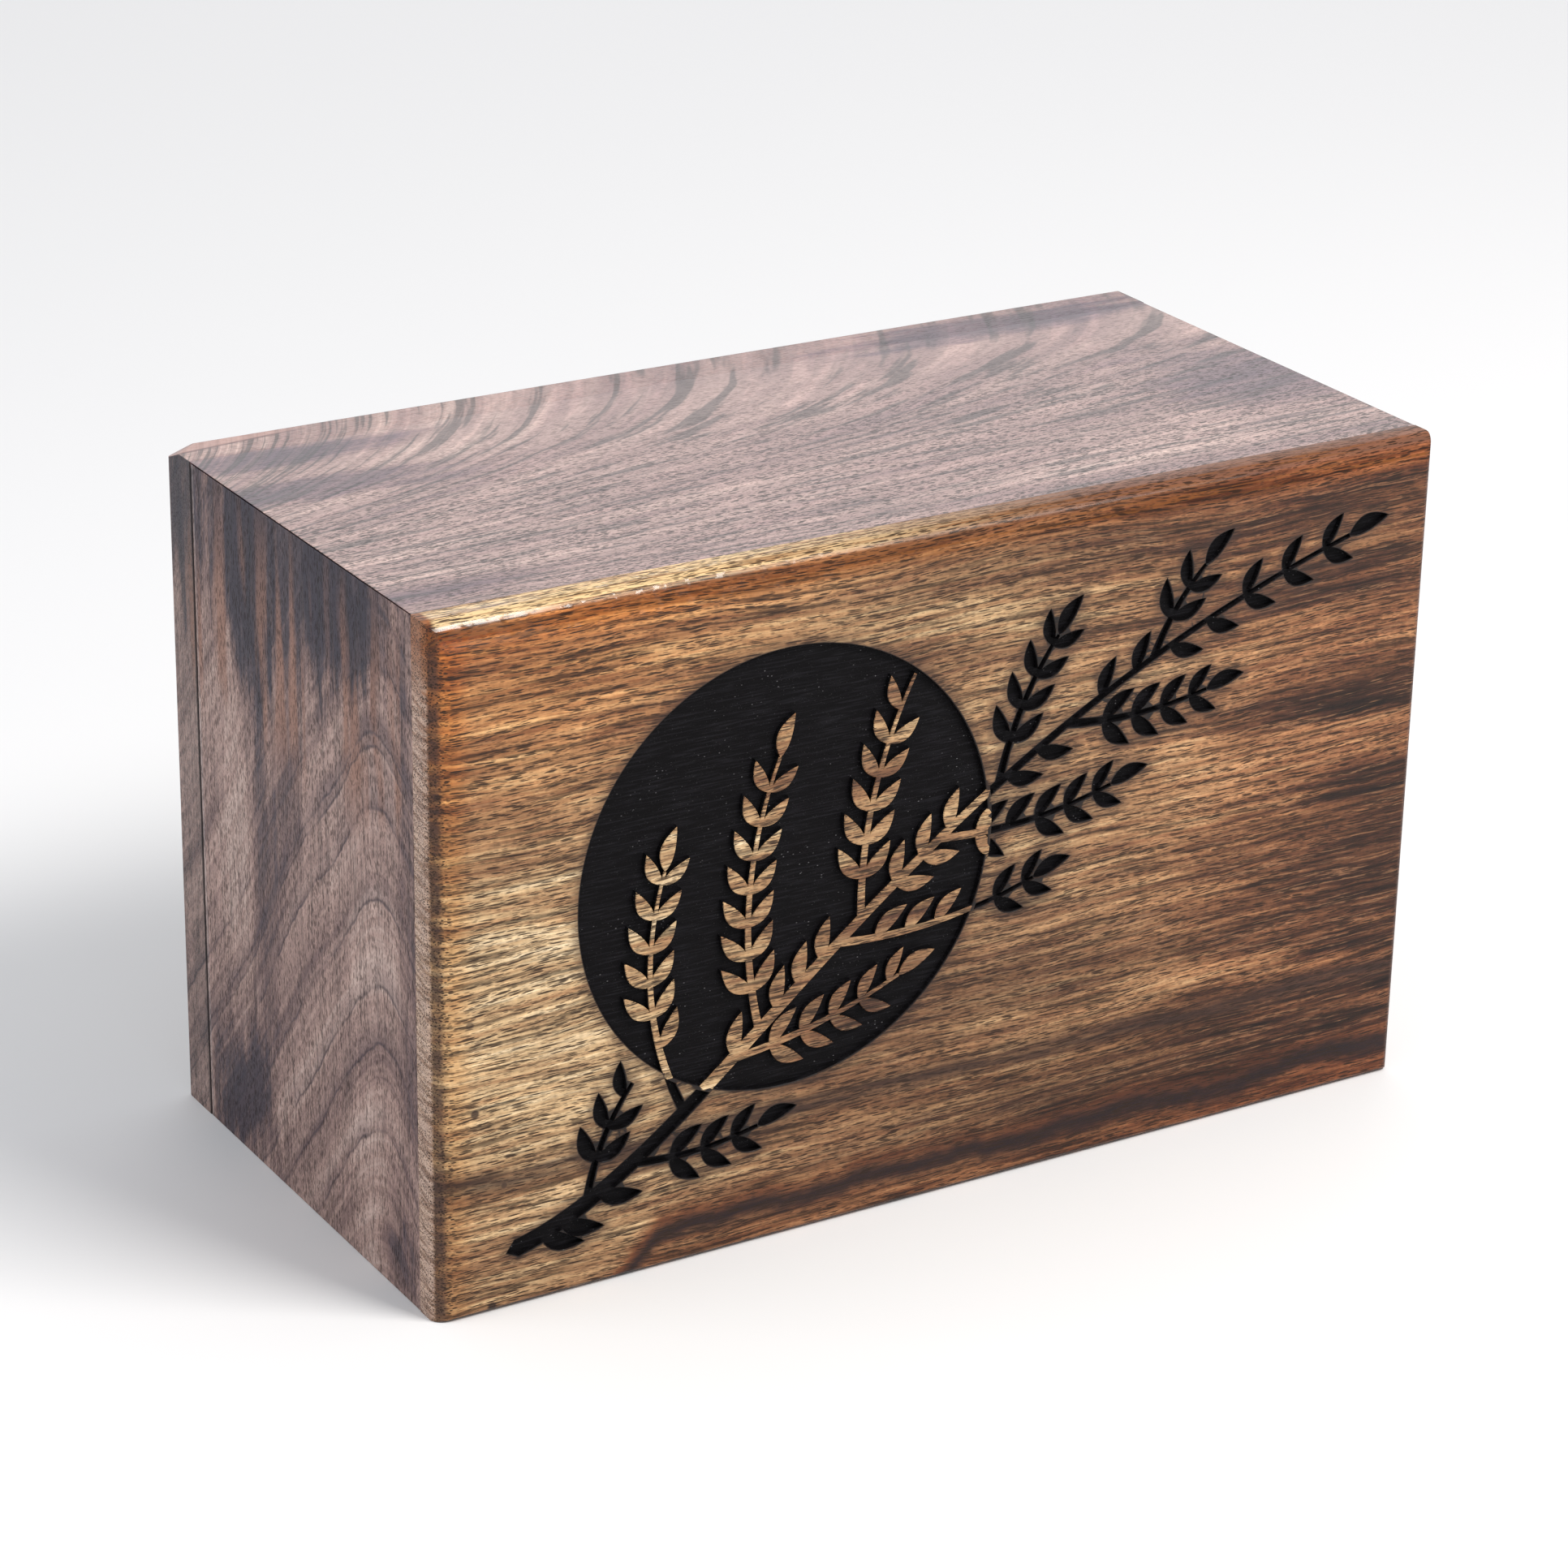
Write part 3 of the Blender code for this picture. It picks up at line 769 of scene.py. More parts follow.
@dataclass(frozen=True)
class Char:
    """Burnt wood in the engraving: matt black with ridges of grain, glossy specks that are also painted a
    little paler, and sparse painted glints.
    """

    name: str = "Charred cut"
    black: Colour = (0.0040, 0.0036, 0.0042)
    ash: Colour = (0.015, 0.014, 0.017)

    def material(self) -> bpy.types.Material:
        """Build the material.

        Returns:
            The finished material.
        """
        graph = Graph(self.name)
        x, y, z = graph.millimetres()
        ridges = graph.noise(graph.vector(x / 9.0, y / 2.0, z / 0.45), 3.0, 0.6)
        grit = graph.noise(graph.vector(x / 0.35, y / 0.35, z / 0.3), 2.0, 0.7)
        gloss_speck_and_painted_glint = grit.step(0.66, 0.74)
        # Ridges and grit specks turn the black towards grey ash; the lightening at the grit specks is a
        # painted glint, and the specks are also glossier.
        colour = graph.mix(ridges.step(0.45, 0.72) * 0.7 + gloss_speck_and_painted_glint * 0.3, self.black, self.ash)
        # Sparse pale specks in the colour are painted glints.
        painted_glints = graph.cells(graph.vector(x / 1.6, y / 1.6, z / 1.0)).step(0.15, 0.07)
        painted_glint_patches = graph.noise(graph.vector(x / 6.0, y / 6.0, z / 6.0), 1.0).step(0.52, 0.66)
        colour = graph.mix(painted_glints * painted_glint_patches * 0.35, colour, (0.30, 0.29, 0.30))
        return graph.finish(
            {
                "Base Color": colour,
                "Roughness": 0.62 - gloss_speck_and_painted_glint * 0.34,
                "Specular IOR Level": 0.06,
                "Coat Weight": gloss_speck_and_painted_glint * 0.8,
                "Coat Roughness": 0.3,
                "Normal": graph.bump(ridges * 0.7 + grit * 0.3, 0.6, 0.00025),
            }
        )


@dataclass(frozen=True)
class Steel:
    """Zinc plated steel of the screws, dulled by handling."""

    name: str = "Zinc plated steel"
    colour: Colour = (0.46, 0.45, 0.42)

    def material(self) -> bpy.types.Material:
        """Build the material.

        Returns:
            The finished material.
        """
        graph = Graph(self.name)
        x, y, z = graph.millimetres()
        stain = graph.noise(graph.vector(x / 1.2, y / 1.2, z / 1.2), 3.0)
        scratch = graph.noise(graph.vector(x / 0.12, y / 1.6, z / 0.4), 2.0)
        return graph.finish(
            {
                "Base Color": graph.mix(stain.step(0.5, 0.75) * 0.6, self.colour, (0.22, 0.19, 0.15)),
                "Metallic": 1.0,
                "Roughness": 0.28 + stain * 0.25,
                "Normal": graph.bump(scratch, 0.2, 0.00004),
            }
        )


@dataclass(frozen=True)
class Floor:
    """The pale floor that the box stands on."""

    name: str = "Pale floor"
    colour: Colour = (0.86, 0.86, 0.865)

    def material(self) -> bpy.types.Material:
        """Build the material.

        Returns:
            The finished material.
        """
        graph = Graph(self.name)
        x, y, z = graph.millimetres()
        cloud = graph.noise(graph.vector(x / 400.0, y / 400.0, z), 2.0)
        colour = graph.mix(cloud * 0.3, self.colour, (0.83, 0.83, 0.84))
        return graph.finish({"Base Color": colour, "Roughness": 0.75, "Specular IOR Level": 0.1})


def place_mesh(name: str, mesh: bpy.types.Mesh) -> bpy.types.Object:
    """Return a new object at the origin that holds a mesh."""
    piece = bpy.data.objects.new(name, mesh)
    bpy.context.scene.collection.objects.link(piece)
    return piece


def as_plain_mesh(piece: bpy.types.Object) -> bpy.types.Mesh:
    """Return an object's mesh with its modifiers applied, and remove them.

    Args:
        piece: The object, whose mesh is replaced.

    Returns:
        The new mesh.
    """
    graph = bpy.context.evaluated_depsgraph_get()
    mesh = bpy.data.meshes.new_from_object(piece.evaluated_get(graph))
    piece.modifiers.clear()
    piece.data = mesh
    mesh.name = piece.name
    return mesh


def crisp(mesh: bpy.types.Mesh, degrees: float = 32.0) -> None:
    """Shade a mesh smooth between its sharp edges."""
    mesh.shade_smooth()
    mesh.set_sharp_from_angle(angle=math.radians(degrees))


def settle_normals(mesh: bpy.types.Mesh) -> None:
    """Keep flat faces flat where a rounding runs into them.

    A face that looks straight along one axis gets that axis as its normals. So do the
    faces beside it at their common points, unless a sharp edge ends there.

    Args:
        mesh: The mesh, already shaded smooth.
    """
    sharp = set()
    for edge in mesh.edges:
        if edge.use_edge_sharp:
            sharp.update(edge.vertices)
    normals = [corner.vector.copy() for corner in mesh.corner_normals]
    facing: dict[int, set[tuple[int, ...]]] = {}
    for polygon in mesh.polygons:
        if max(abs(value) for value in polygon.normal) > 0.99999:
            way = tuple(round(value) for value in polygon.normal)
            for corner in polygon.loop_indices:
                normals[corner] = Vector(way)
                facing.setdefault(mesh.loops[corner].vertex_index, set()).add(way)
    for corner in mesh.loops:
        ways = facing.get(corner.vertex_index, set())
        if len(ways) == 1 and corner.vertex_index not in sharp:
            normals[corner.index] = Vector(next(iter(ways)))
    mesh.normals_split_custom_set(normals)


@dataclass
class Board:
    """One board: a block with rounded edges and faces cut into an even grid.

    The keys of radii say where an edge lies: -1, 0 or 1 on each axis, with 0 on the axis
    that the edge runs along.
    """

    name: str
    nodes: tuple[str, ...]
    slot: str
    low: Vector
    high: Vector
    radii: dict[tuple[int, int, int], float]
    segments: int = 6
    grid: float = 0.012
    edge_loop: float = 0.0008

    def blank(self) -> bpy.types.Mesh:
        """Return the sharp-edged block, with its edges' shares of the widest rounding."""
        size = self.high - self.low
        middle = (self.high + self.low) / 2
        bm = bmesh.new()
        bmesh.ops.create_cube(bm, size=1.0)
        bmesh.ops.scale(bm, vec=size, verts=bm.verts)
        weight = bm.edges.layers.float.new("bevel_weight_edge")
        for edge in bm.edges:
            at = (edge.verts[0].co + edge.verts[1].co) / 2
            key = tuple(round(2 * at[axis] / size[axis]) for axis in range(3))
            edge[weight] = self.radii.get(key, 0.0) / self.widest()
        bmesh.ops.translate(bm, vec=middle, verts=bm.verts)
        mesh = bpy.data.meshes.new(self.name)
        bm.to_mesh(mesh)
        bm.free()
        return mesh

    def widest(self) -> float:
        """Return the radius of the widest rounding."""
        return max(self.radii.values())

    def block(self) -> bpy.types.Object:
        """Return the block with its edges rounded."""
        piece = place_mesh(self.name, self.blank())
        bevel = piece.modifiers.new("Rounded edges", "BEVEL")
        bevel.limit_method = "WEIGHT"
        bevel.width = self.widest()
        bevel.segments = self.segments
        as_plain_mesh(piece)
        return piece

    def grid_cuts(self) -> list[tuple[int, float]]:
        """Return the planes that cut the faces: an axis and a place on it.

        Returns:
            The planes, with the first and the last just inside the rounded edges.
        """
        cuts = []
        for axis in range(3):
            insets = []
            for end in (-1, 1):
                reach = [radius for key, radius in self.radii.items() if key[axis] == end]
                insets.append(max(reach, default=0.0))
            first = self.low[axis] + insets[0] + self.edge_loop
            last = self.high[axis] - insets[1] - self.edge_loop
            if last <= first:
                continue
            count = max(1, round((last - first) / self.grid))
            cuts += [(axis, first + (last - first) * step / count) for step in range(count + 1)]
        return cuts

    def cut_grid(self, mesh: bpy.types.Mesh) -> None:
        """Cut a mesh along the grid's planes."""
        bm = bmesh.new()
        bm.from_mesh(mesh)
        for axis, place in self.grid_cuts():
            point = Vector((0.0, 0.0, 0.0))
            point[axis] = place
            normal = Vector((0.0, 0.0, 0.0))
            normal[axis] = 1.0
            geometry = list(bm.verts) + list(bm.edges) + list(bm.faces)
            bmesh.ops.bisect_plane(bm, geom=geometry, dist=1e-6, plane_co=point, plane_no=normal)
        bm.to_mesh(mesh)
        bm.free()

    def work(self, piece: bpy.types.Object) -> None:
        """Cut what is special about the board; a plain board has nothing."""

    def build(self) -> bpy.types.Object:
        """Return the finished board's shape."""
        piece = self.block()
        self.cut_grid(piece.data)
        self.work(piece)
        crisp(piece.data)
        settle_normals(piece.data)
        return piece

    def dress(self, piece: bpy.types.Object, materials: list[bpy.types.Material]) -> None:
        """Give a board its materials and tie it to the frame.

        Args:
            piece: The board.
            materials: The materials of its slots.
        """
        slots = piece.data.materials
        for index, material in enumerate(materials):
            if index < len(slots):
                slots[index] = material
            else:
                slots.append(material)
        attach(piece, "root")
        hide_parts(*self.nodes)
        log.info("%s: %d faces", piece.name, len(piece.data.polygons))


@dataclass
class ProfileBoard(Board):
    """A board whose cross-section in X and Z runs from low.y to high.y.

    Each corner of the profile holds x, z and the radius of the edge that starts there, and
    the corners go round the profile so that the edges are drawn in order. The ends' edges
    are rounded by end_radius.
    """

    corners: tuple[tuple[float, float, float], ...] = ()
    end_radius: float = 0.0002

    def widest(self) -> float:
        """Return the radius of the widest rounding."""
        return max(max(radius for _, _, radius in self.corners), self.end_radius)

    def blank(self) -> bpy.types.Mesh:
        """Return the sharp-edged prism, with its edges' shares of the widest rounding."""
        bm = bmesh.new()
        weight = bm.edges.layers.float.new("bevel_weight_edge")
        rings = [
            [bm.verts.new((x, y, z)) for x, z, _ in self.corners] for y in (self.low.y, self.high.y)
        ]
        count = len(self.corners)
        for index in range(count):
            after = (index + 1) % count
            bm.faces.new((rings[0][index], rings[0][after], rings[1][after], rings[1][index]))
        for ring in rings:
            bm.faces.new(ring)
        bmesh.ops.recalc_face_normals(bm, faces=bm.faces)
        for edge in bm.edges:
            edge[weight] = self.end_radius / self.widest()
        for index, (_, _, radius) in enumerate(self.corners):
            bm.edges.get((rings[0][index], rings[1][index]))[weight] = radius / self.widest()
        mesh = bpy.data.meshes.new(self.name)
        bm.to_mesh(mesh)
        bm.free()
        return mesh

    def grid_cuts(self) -> list[tuple[int, float]]:
        """Return the planes that cut the faces along Y and up the board."""
        cuts = []
        for axis in (0, 1, 2):
            first = self.low[axis] + self.edge_loop
            last = self.high[axis] - self.edge_loop
            count = max(1, round((last - first) / self.grid))
            cuts += [(axis, first + (last - first) * step / count) for step in range(count + 1)]
        return cuts


@dataclass
class Stem:
    """A stem of the branch: a tapering stroke along a smooth curve."""

    points: tuple[Vector, ...]
    root_width: float
    tip_width: float
    steps: int

    def at(self, share: float) -> Vector:
        """Return the point at a share of the stem."""
        points = list(self.points)
        while len(points) > 1:
            points = [a.lerp(b, share) for a, b in zip(points, points[1:])]
        return points[0]

    def heading(self, share: float) -> float:
        """Return the stem's direction at a share of it, as an angle from +X."""
        step = 0.01
        ahead = self.at(min(1.0, share + step)) - self.at(max(0.0, share - step))
        return math.atan2(ahead.y, ahead.x)

    def length(self) -> float:
        """Return the stem's length."""
        samples = [self.at(index / 60) for index in range(61)]
        return sum((b - a).length for a, b in zip(samples, samples[1:]))

    def half_width(self, share: float) -> float:
        """Return half the stem's width at a share of it."""
        return (self.root_width + (self.tip_width - self.root_width) * share) / 2

    def outline(self) -> list[Vector]:
        """Return the stem's outline, anticlockwise."""
        left = []
        right = []
        for index in range(self.steps + 1):
            share = index / self.steps
            across = flat(self.heading(share) + math.pi / 2, self.half_width(share))
            left.append(self.at(share) + across)
            right.append(self.at(share) - across)
        back = self.at(0.0) - flat(self.heading(0.0), self.root_width * 0.6)
        return right + left[::-1] + [back]


@dataclass
class Leaf:
    """A leaf of the branch."""

    root: Vector
    angle: float
    length: float
    side: Side

    def at(self, share: float) -> Vector:
        """Return the point at a share of the leaf's length."""
        return self.root + flat(self.angle, share * self.length)


def flat(angle: float, distance: float) -> Vector:
    """Return the flat vector of a length in a direction."""
    return Vector((math.cos(angle), math.sin(angle))) * distance


@dataclass
class Drawing:
    """The engraved drawing, in metres from the middle of the front face."""

    width: float = 0.225
    height: float = 0.134
    side_margin: float = 0.0145
    end_margin: float = 0.0125
    moon_centre: Vector = field(default_factory=lambda: Vector((-0.042, 0.0085)))
    moon_radius: float = 0.051
    stem_curve: tuple[Vector, ...] = (
        Vector((-0.108, -0.0655)),
        Vector((-0.058, -0.0535)),
        Vector((-0.018, 0.0245)),
        Vector((0.104, 0.0595)),
    )
    stem_widths: tuple[float, float] = (0.0042, 0.0009)
    stem_steps: int = 48
    twigs: tuple[tuple[float, Side, float, float], ...] = (
        (0.115, Side.ABOVE, 0.029, 54.0),
        (0.190, Side.BELOW, 0.032, 43.0),
        (0.275, Side.ABOVE, 0.062, 79.0),
        (0.350, Side.BELOW, 0.044, 35.0),
        (0.390, Side.ABOVE, 0.066, 64.0),
        (0.500, Side.BELOW, 0.052, 46.0),
        (0.530, Side.ABOVE, 0.058, 54.0),
        (0.625, Side.BELOW, 0.046, 42.0),
        (0.690, Side.ABOVE, 0.036, 46.0),
        (0.760, Side.BELOW, 0.038, 38.0),
        (0.840, Side.ABOVE, 0.024, 43.0),
    )
    twig_widths: tuple[float, float] = (0.002, 0.0008)
    twig_bend_back: float = 0.45
    twig_steps: int = 18
    leaf_length: float = 0.0116
    leaf_width_share: float = 0.36
    leaf_curl_share: float = 0.07
    leaf_taper: float = 0.22
    twig_leaf_share: float = 0.92
    end_leaf_share: float = 0.95
    leaf_spacing: float = 0.0078
    leaf_angle: float = math.radians(40)
    leaf_steps: int = 12
    leaf_clearance: float = 0.0035
    stem_clearance: float = 0.0021
    rim_clearance: float = 0.0022

    def fit(self, face_width: float, face_height: float) -> float:
        """Return the scale at which the drawing keeps its margins on a face."""
        across = (face_width - 2 * self.side_margin) / self.width
        upright = (face_height - 2 * self.end_margin) / self.height
        return min(across, upright)

    def stems(self) -> list[Stem]:
        """Return the main stem and its twigs."""
        main = Stem(self.stem_curve, *self.stem_widths, self.stem_steps)
        stems = [main]
        for place, side, length, spread in self.twigs:
            turn = side.value * math.radians(spread)
            root = main.at(place)
            pull = root + flat(main.heading(place) + turn, length / 2)
            end = pull + flat(main.heading(place) + turn * self.twig_bend_back, length / 2)
            stems.append(Stem((root, pull, end), *self.twig_widths, self.twig_steps))
        return stems

    def crosses_rim_well(self, leaf: Leaf) -> bool:
        """Say whether a leaf keeps off the moon's rim, or crosses it near its own middle."""
        shares = [index / 8 for index in range(9)]
        spine = [leaf.at(share) for share in shares]
        outside = [(point - self.moon_centre).length - self.moon_radius for point in spine]
        crossings = [share for share, a, b in zip(shares, outside, outside[1:]) if a * b <= 0.0]
        if not crossings:
            return min(abs(distance) for distance in outside) > self.rim_clearance
        straight_over = abs(outside[-1] - outside[0]) > 0.6 * leaf.length
        return len(crossings) == 1 and 0.3 <= crossings[0] <= 0.65 and straight_over

    def candidates(self, stem: Stem, is_twig: bool) -> list[Leaf]:
        """List the leaves that a stem could bear: one at its end and pairs along it.

        Args:
            stem: The stem.
            is_twig: Whether it is a twig, whose leaves are smaller.

        Returns:
            The leaves.
        """
        total = stem.length()
        size = self.leaf_length * (self.twig_leaf_share if is_twig else 1.0)
        leaves = [Leaf(stem.at(1.0), stem.heading(1.0), size * self.end_leaf_share, Side.ABOVE)]
        distance = self.leaf_spacing * 1.2
        while distance < total - self.leaf_spacing / 4:
            share = distance / total
            length = size * (1.0 - self.leaf_taper * share)
            for side in (Side.ABOVE, Side.BELOW):
                angle = stem.heading(share) + side.value * self.leaf_angle
                leaves.append(Leaf(stem.at(share), angle, length, side))
            distance += self.leaf_spacing
        return leaves

    def leaves(self, stems: list[Stem]) -> list[Leaf]:
        """Choose the leaves that keep clear of each other, the stems and the moon's rim.

        Args:
            stems: The stems.

        Returns:
            The leaves.
        """
        samples = []
        for stem in stems:
            shares = [index / 40 for index in range(41)]
            keeps = [stem.half_width(share) + self.stem_clearance for share in shares]
            samples.append([(stem.at(share), keep) for share, keep in zip(shares, keeps)])
        taken: list[Vector] = []
        chosen: list[Leaf] = []
        for own in list(range(1, len(stems))) + [0]:
            for leaf in self.candidates(stems[own], own > 0):
                spine = [(share, leaf.at(share)) for share in (0.3, 0.55, 0.8, 1.0)]
                gaps = [(point - other).length for _, point in spine for other in taken]
                crowded = min(gaps, default=self.leaf_clearance) < self.leaf_clearance
                for number, stem_points in enumerate(samples):
                    for share, point in spine:
                        if number == own and share < 0.5:
                            continue
                        crowded = crowded or any((point - at).length < keep for at, keep in stem_points)
                if crowded or not self.crosses_rim_well(leaf):
                    continue
                chosen.append(leaf)
                taken += [leaf.at(share) for share in (0.35, 0.6, 0.85)]
        return chosen

    def leaf_outline(self, side: Side) -> list[Vector]:
        """Return the outline of a leaf of length 1 along X that curls to one side.

        Args:
            side: The side that it curls to.

        Returns:
            The outline's points, anticlockwise.
        """
        upper = []
        lower = []
        for index in range(self.leaf_steps + 1):
            share = index / self.leaf_steps
            belly = max(0.0, math.sin(math.pi * share ** 0.85)) ** 0.9
            half = self.leaf_width_share / 2 * belly
            curl = side.value * self.leaf_curl_share * math.sin(math.pi * share)
            upper.append(Vector((share, curl + half)))
            lower.append(Vector((share, curl - half)))
        return lower + upper[-2:0:-1]


def leaf_spreader() -> bpy.types.NodeTree:
    """Build the tree that sets a leaf on each point, turned and sized by the point.

    Returns:
        The node tree, with a leaf object and a finish as its inputs.
    """
    tree = bpy.data.node_groups.new("Leaf spreader", "GeometryNodeTree")
    for name, way, kind in (
        ("Points", "INPUT", "NodeSocketGeometry"),
        ("Leaf", "INPUT", "NodeSocketObject"),
        ("Finish", "INPUT", "NodeSocketMaterial"),
        ("Leaves", "OUTPUT", "NodeSocketGeometry"),
    ):
        tree.interface.new_socket(name, in_out=way, socket_type=kind)
    nodes = tree.nodes
    source = nodes.new("NodeGroupInput")
    info = nodes.new("GeometryNodeObjectInfo")
    info.inputs["As Instance"].default_value = True
    turn, size = (nodes.new("GeometryNodeInputNamedAttribute") for _ in range(2))
    for node, name in ((turn, "turn"), (size, "size")):
        node.data_type = "FLOAT"
        node.inputs["Name"].default_value = name
    angles = nodes.new("ShaderNodeCombineXYZ")
    sizes = nodes.new("ShaderNodeCombineXYZ")
    sizes.inputs["Z"].default_value = 1.0
    spread = nodes.new("GeometryNodeInstanceOnPoints")
    real = nodes.new("GeometryNodeRealizeInstances")
    paint = nodes.new("GeometryNodeSetMaterial")
    sink = nodes.new("NodeGroupOutput")
    for origin, output, target, entry in (
        (source, "Leaf", info, "Object"),
        (turn, "Attribute", angles, "Z"),
        (size, "Attribute", sizes, "X"),
        (size, "Attribute", sizes, "Y"),
        (source, "Points", spread, "Points"),
        (info, "Geometry", spread, "Instance"),
        (angles, "Vector", spread, "Rotation"),
        (sizes, "Vector", spread, "Scale"),
        (spread, "Instances", real, "Geometry"),
        (real, "Geometry", paint, "Geometry"),
        (source, "Finish", paint, "Material"),
        (paint, "Geometry", sink, "Leaves"),
    ):
        tree.links.new(origin.outputs[output], target.inputs[entry])
    return tree


class Region(Enum):
    """What a spot of the front face is."""

    FACE = "face"
    MOON_FLOOR = "moon floor"
    BRANCH_FLOOR = "branch floor"


@dataclass
class Net:
    """A flat net of triangles, from lines that it has to follow and points between them."""

    points: list[Vector]
    lines: list[tuple[int, int]]
    outlines: list[list[int]] = field(default_factory=list)
    spots: list[Vector] = field(default_factory=list)
    triangles: list[tuple[int, ...]] = field(default_factory=list)
    sources: list[int] = field(default_factory=list)
    homes: dict[int, int] = field(default_factory=dict)
    covers: list[list[int]] = field(default_factory=list)
    fixed: set[tuple[int, int]] = field(default_factory=set)

    def weave(self) -> "Net":
        """Work out the triangles, and return the net."""
        stretched = [point / MILLIMETRE for point in self.points]
        result = delaunay_2d_cdt(stretched, self.lines, self.outlines, 0, 1e-4, True)
        spots, edges, triangles, old_spots, old_lines, old_outlines = result
        self.spots = [spot * MILLIMETRE for spot in spots]
        self.triangles = [tuple(triangle) for triangle in triangles]
        self.sources = [old[0] if old else -1 for old in old_spots]
        self.homes = {number: index for index, old in enumerate(old_spots) for number in old}
        self.covers = [list(old) for old in old_outlines]
        self.fixed = {tuple(sorted(edge)) for edge, old in zip(edges, old_lines) if old}
        return self

    def crossings(self) -> list[Vector]:
        """Return where the lines cross each other away from the points they were given."""
        return [spot for spot, source in zip(self.spots, self.sources) if source < 0]

    def patches(self) -> list[list[int]]:
        """Return the triangles in groups that the lines keep apart, by number."""
        beside: dict[tuple[int, int], list[int]] = {}
        for number, triangle in enumerate(self.triangles):
            for start, end in zip(triangle, triangle[1:] + triangle[:1]):
                edge = (min(start, end), max(start, end))
                if edge not in self.fixed:
                    beside.setdefault(edge, []).append(number)
        neighbours: list[list[int]] = [[] for _ in self.triangles]
        for pair in beside.values():
            if len(pair) == 2:
                neighbours[pair[0]].append(pair[1])
                neighbours[pair[1]].append(pair[0])
        seen: set[int] = set()
        groups = []
        for number in range(len(self.triangles)):
            if number in seen:
                continue
            seen.add(number)
            group = [number]
            for member in group:
                for other in neighbours[member]:
                    if other not in seen:
                        seen.add(other)
                        group.append(other)
            groups.append(group)
        return groups

    def area(self, number: int) -> float:
        """Return a triangle's area."""
        a, b, c = (self.spots[index] for index in self.triangles[number])
        return (b - a).cross(c - a) / 2

    def centre(self, number: int) -> Vector:
        """Return a triangle's middle."""
        a, b, c = (self.spots[index] for index in self.triangles[number])
        return (a + b + c) / 3


@dataclass
class Rim:
    """One closed edge of the engraving, anticlockwise round the cut beside it."""

    points: list[Vector]
    region: Region

    def moved(self, towards_cut: float, shares: list[float]) -> list[Vector]:
        """Return the edge moved sideways.

        Args:
            towards_cut: How far it moves towards the cut.
            shares: The share of that for each point.

        Returns:
            The moved points, one for each point of the edge.
        """
        moved = []
        count = len(self.points)
        for index, point in enumerate(self.points):
            before = (point - self.points[index - 1]).normalized()
            after = (self.points[(index + 1) % count] - point).normalized()
            square = Vector((-before.y, before.x))
            left = square + Vector((-after.y, after.x))
            left = left.normalized() if left.length > 1e-6 else square
            lean = max(0.4, left.dot(square))
            moved.append(point + left * (towards_cut * shares[index] / lean))
        return moved


def closed_lines(rims: list[list[Vector]], start: int) -> list[tuple[int, int]]:
    """Return the lines along closed edges whose points are numbered from a start."""
    lines = []
    for rim in rims:
        lines += [(start + index, start + (index + 1) % len(rim)) for index in range(len(rim))]
        start += len(rim)
    return lines


def moved_rims(rims: list[Rim], towards_cut: float) -> list[list[Vector]]:
    """Move edges sideways, less far where they would run into each other.

    Args:
        rims: The edges.
        towards_cut: How far they move towards the cut.

    Returns:
        The moved points of each edge.
    """
    shares = [[1.0] * len(rim.points) for rim in rims]
    reach = 0.0009
    halvings = 4
    for attempt in range(halvings + 3):
        moved = [rim.moved(towards_cut, share) for rim, share in zip(rims, shares)]
        net = Net([point for points in moved for point in points], closed_lines(moved, 0)).weave()
        crossings = net.crossings()
        if not crossings:
            break
        for points, share in zip(moved, shares):
            for index, point in enumerate(points):
                if any((point - crossing).length < reach for crossing in crossings):
                    share[index] *= 0.5 if attempt < halvings else 0.0
    log.info("edges moved by %.2f mm after %d tries", towards_cut / MILLIMETRE, attempt + 1)
    return moved


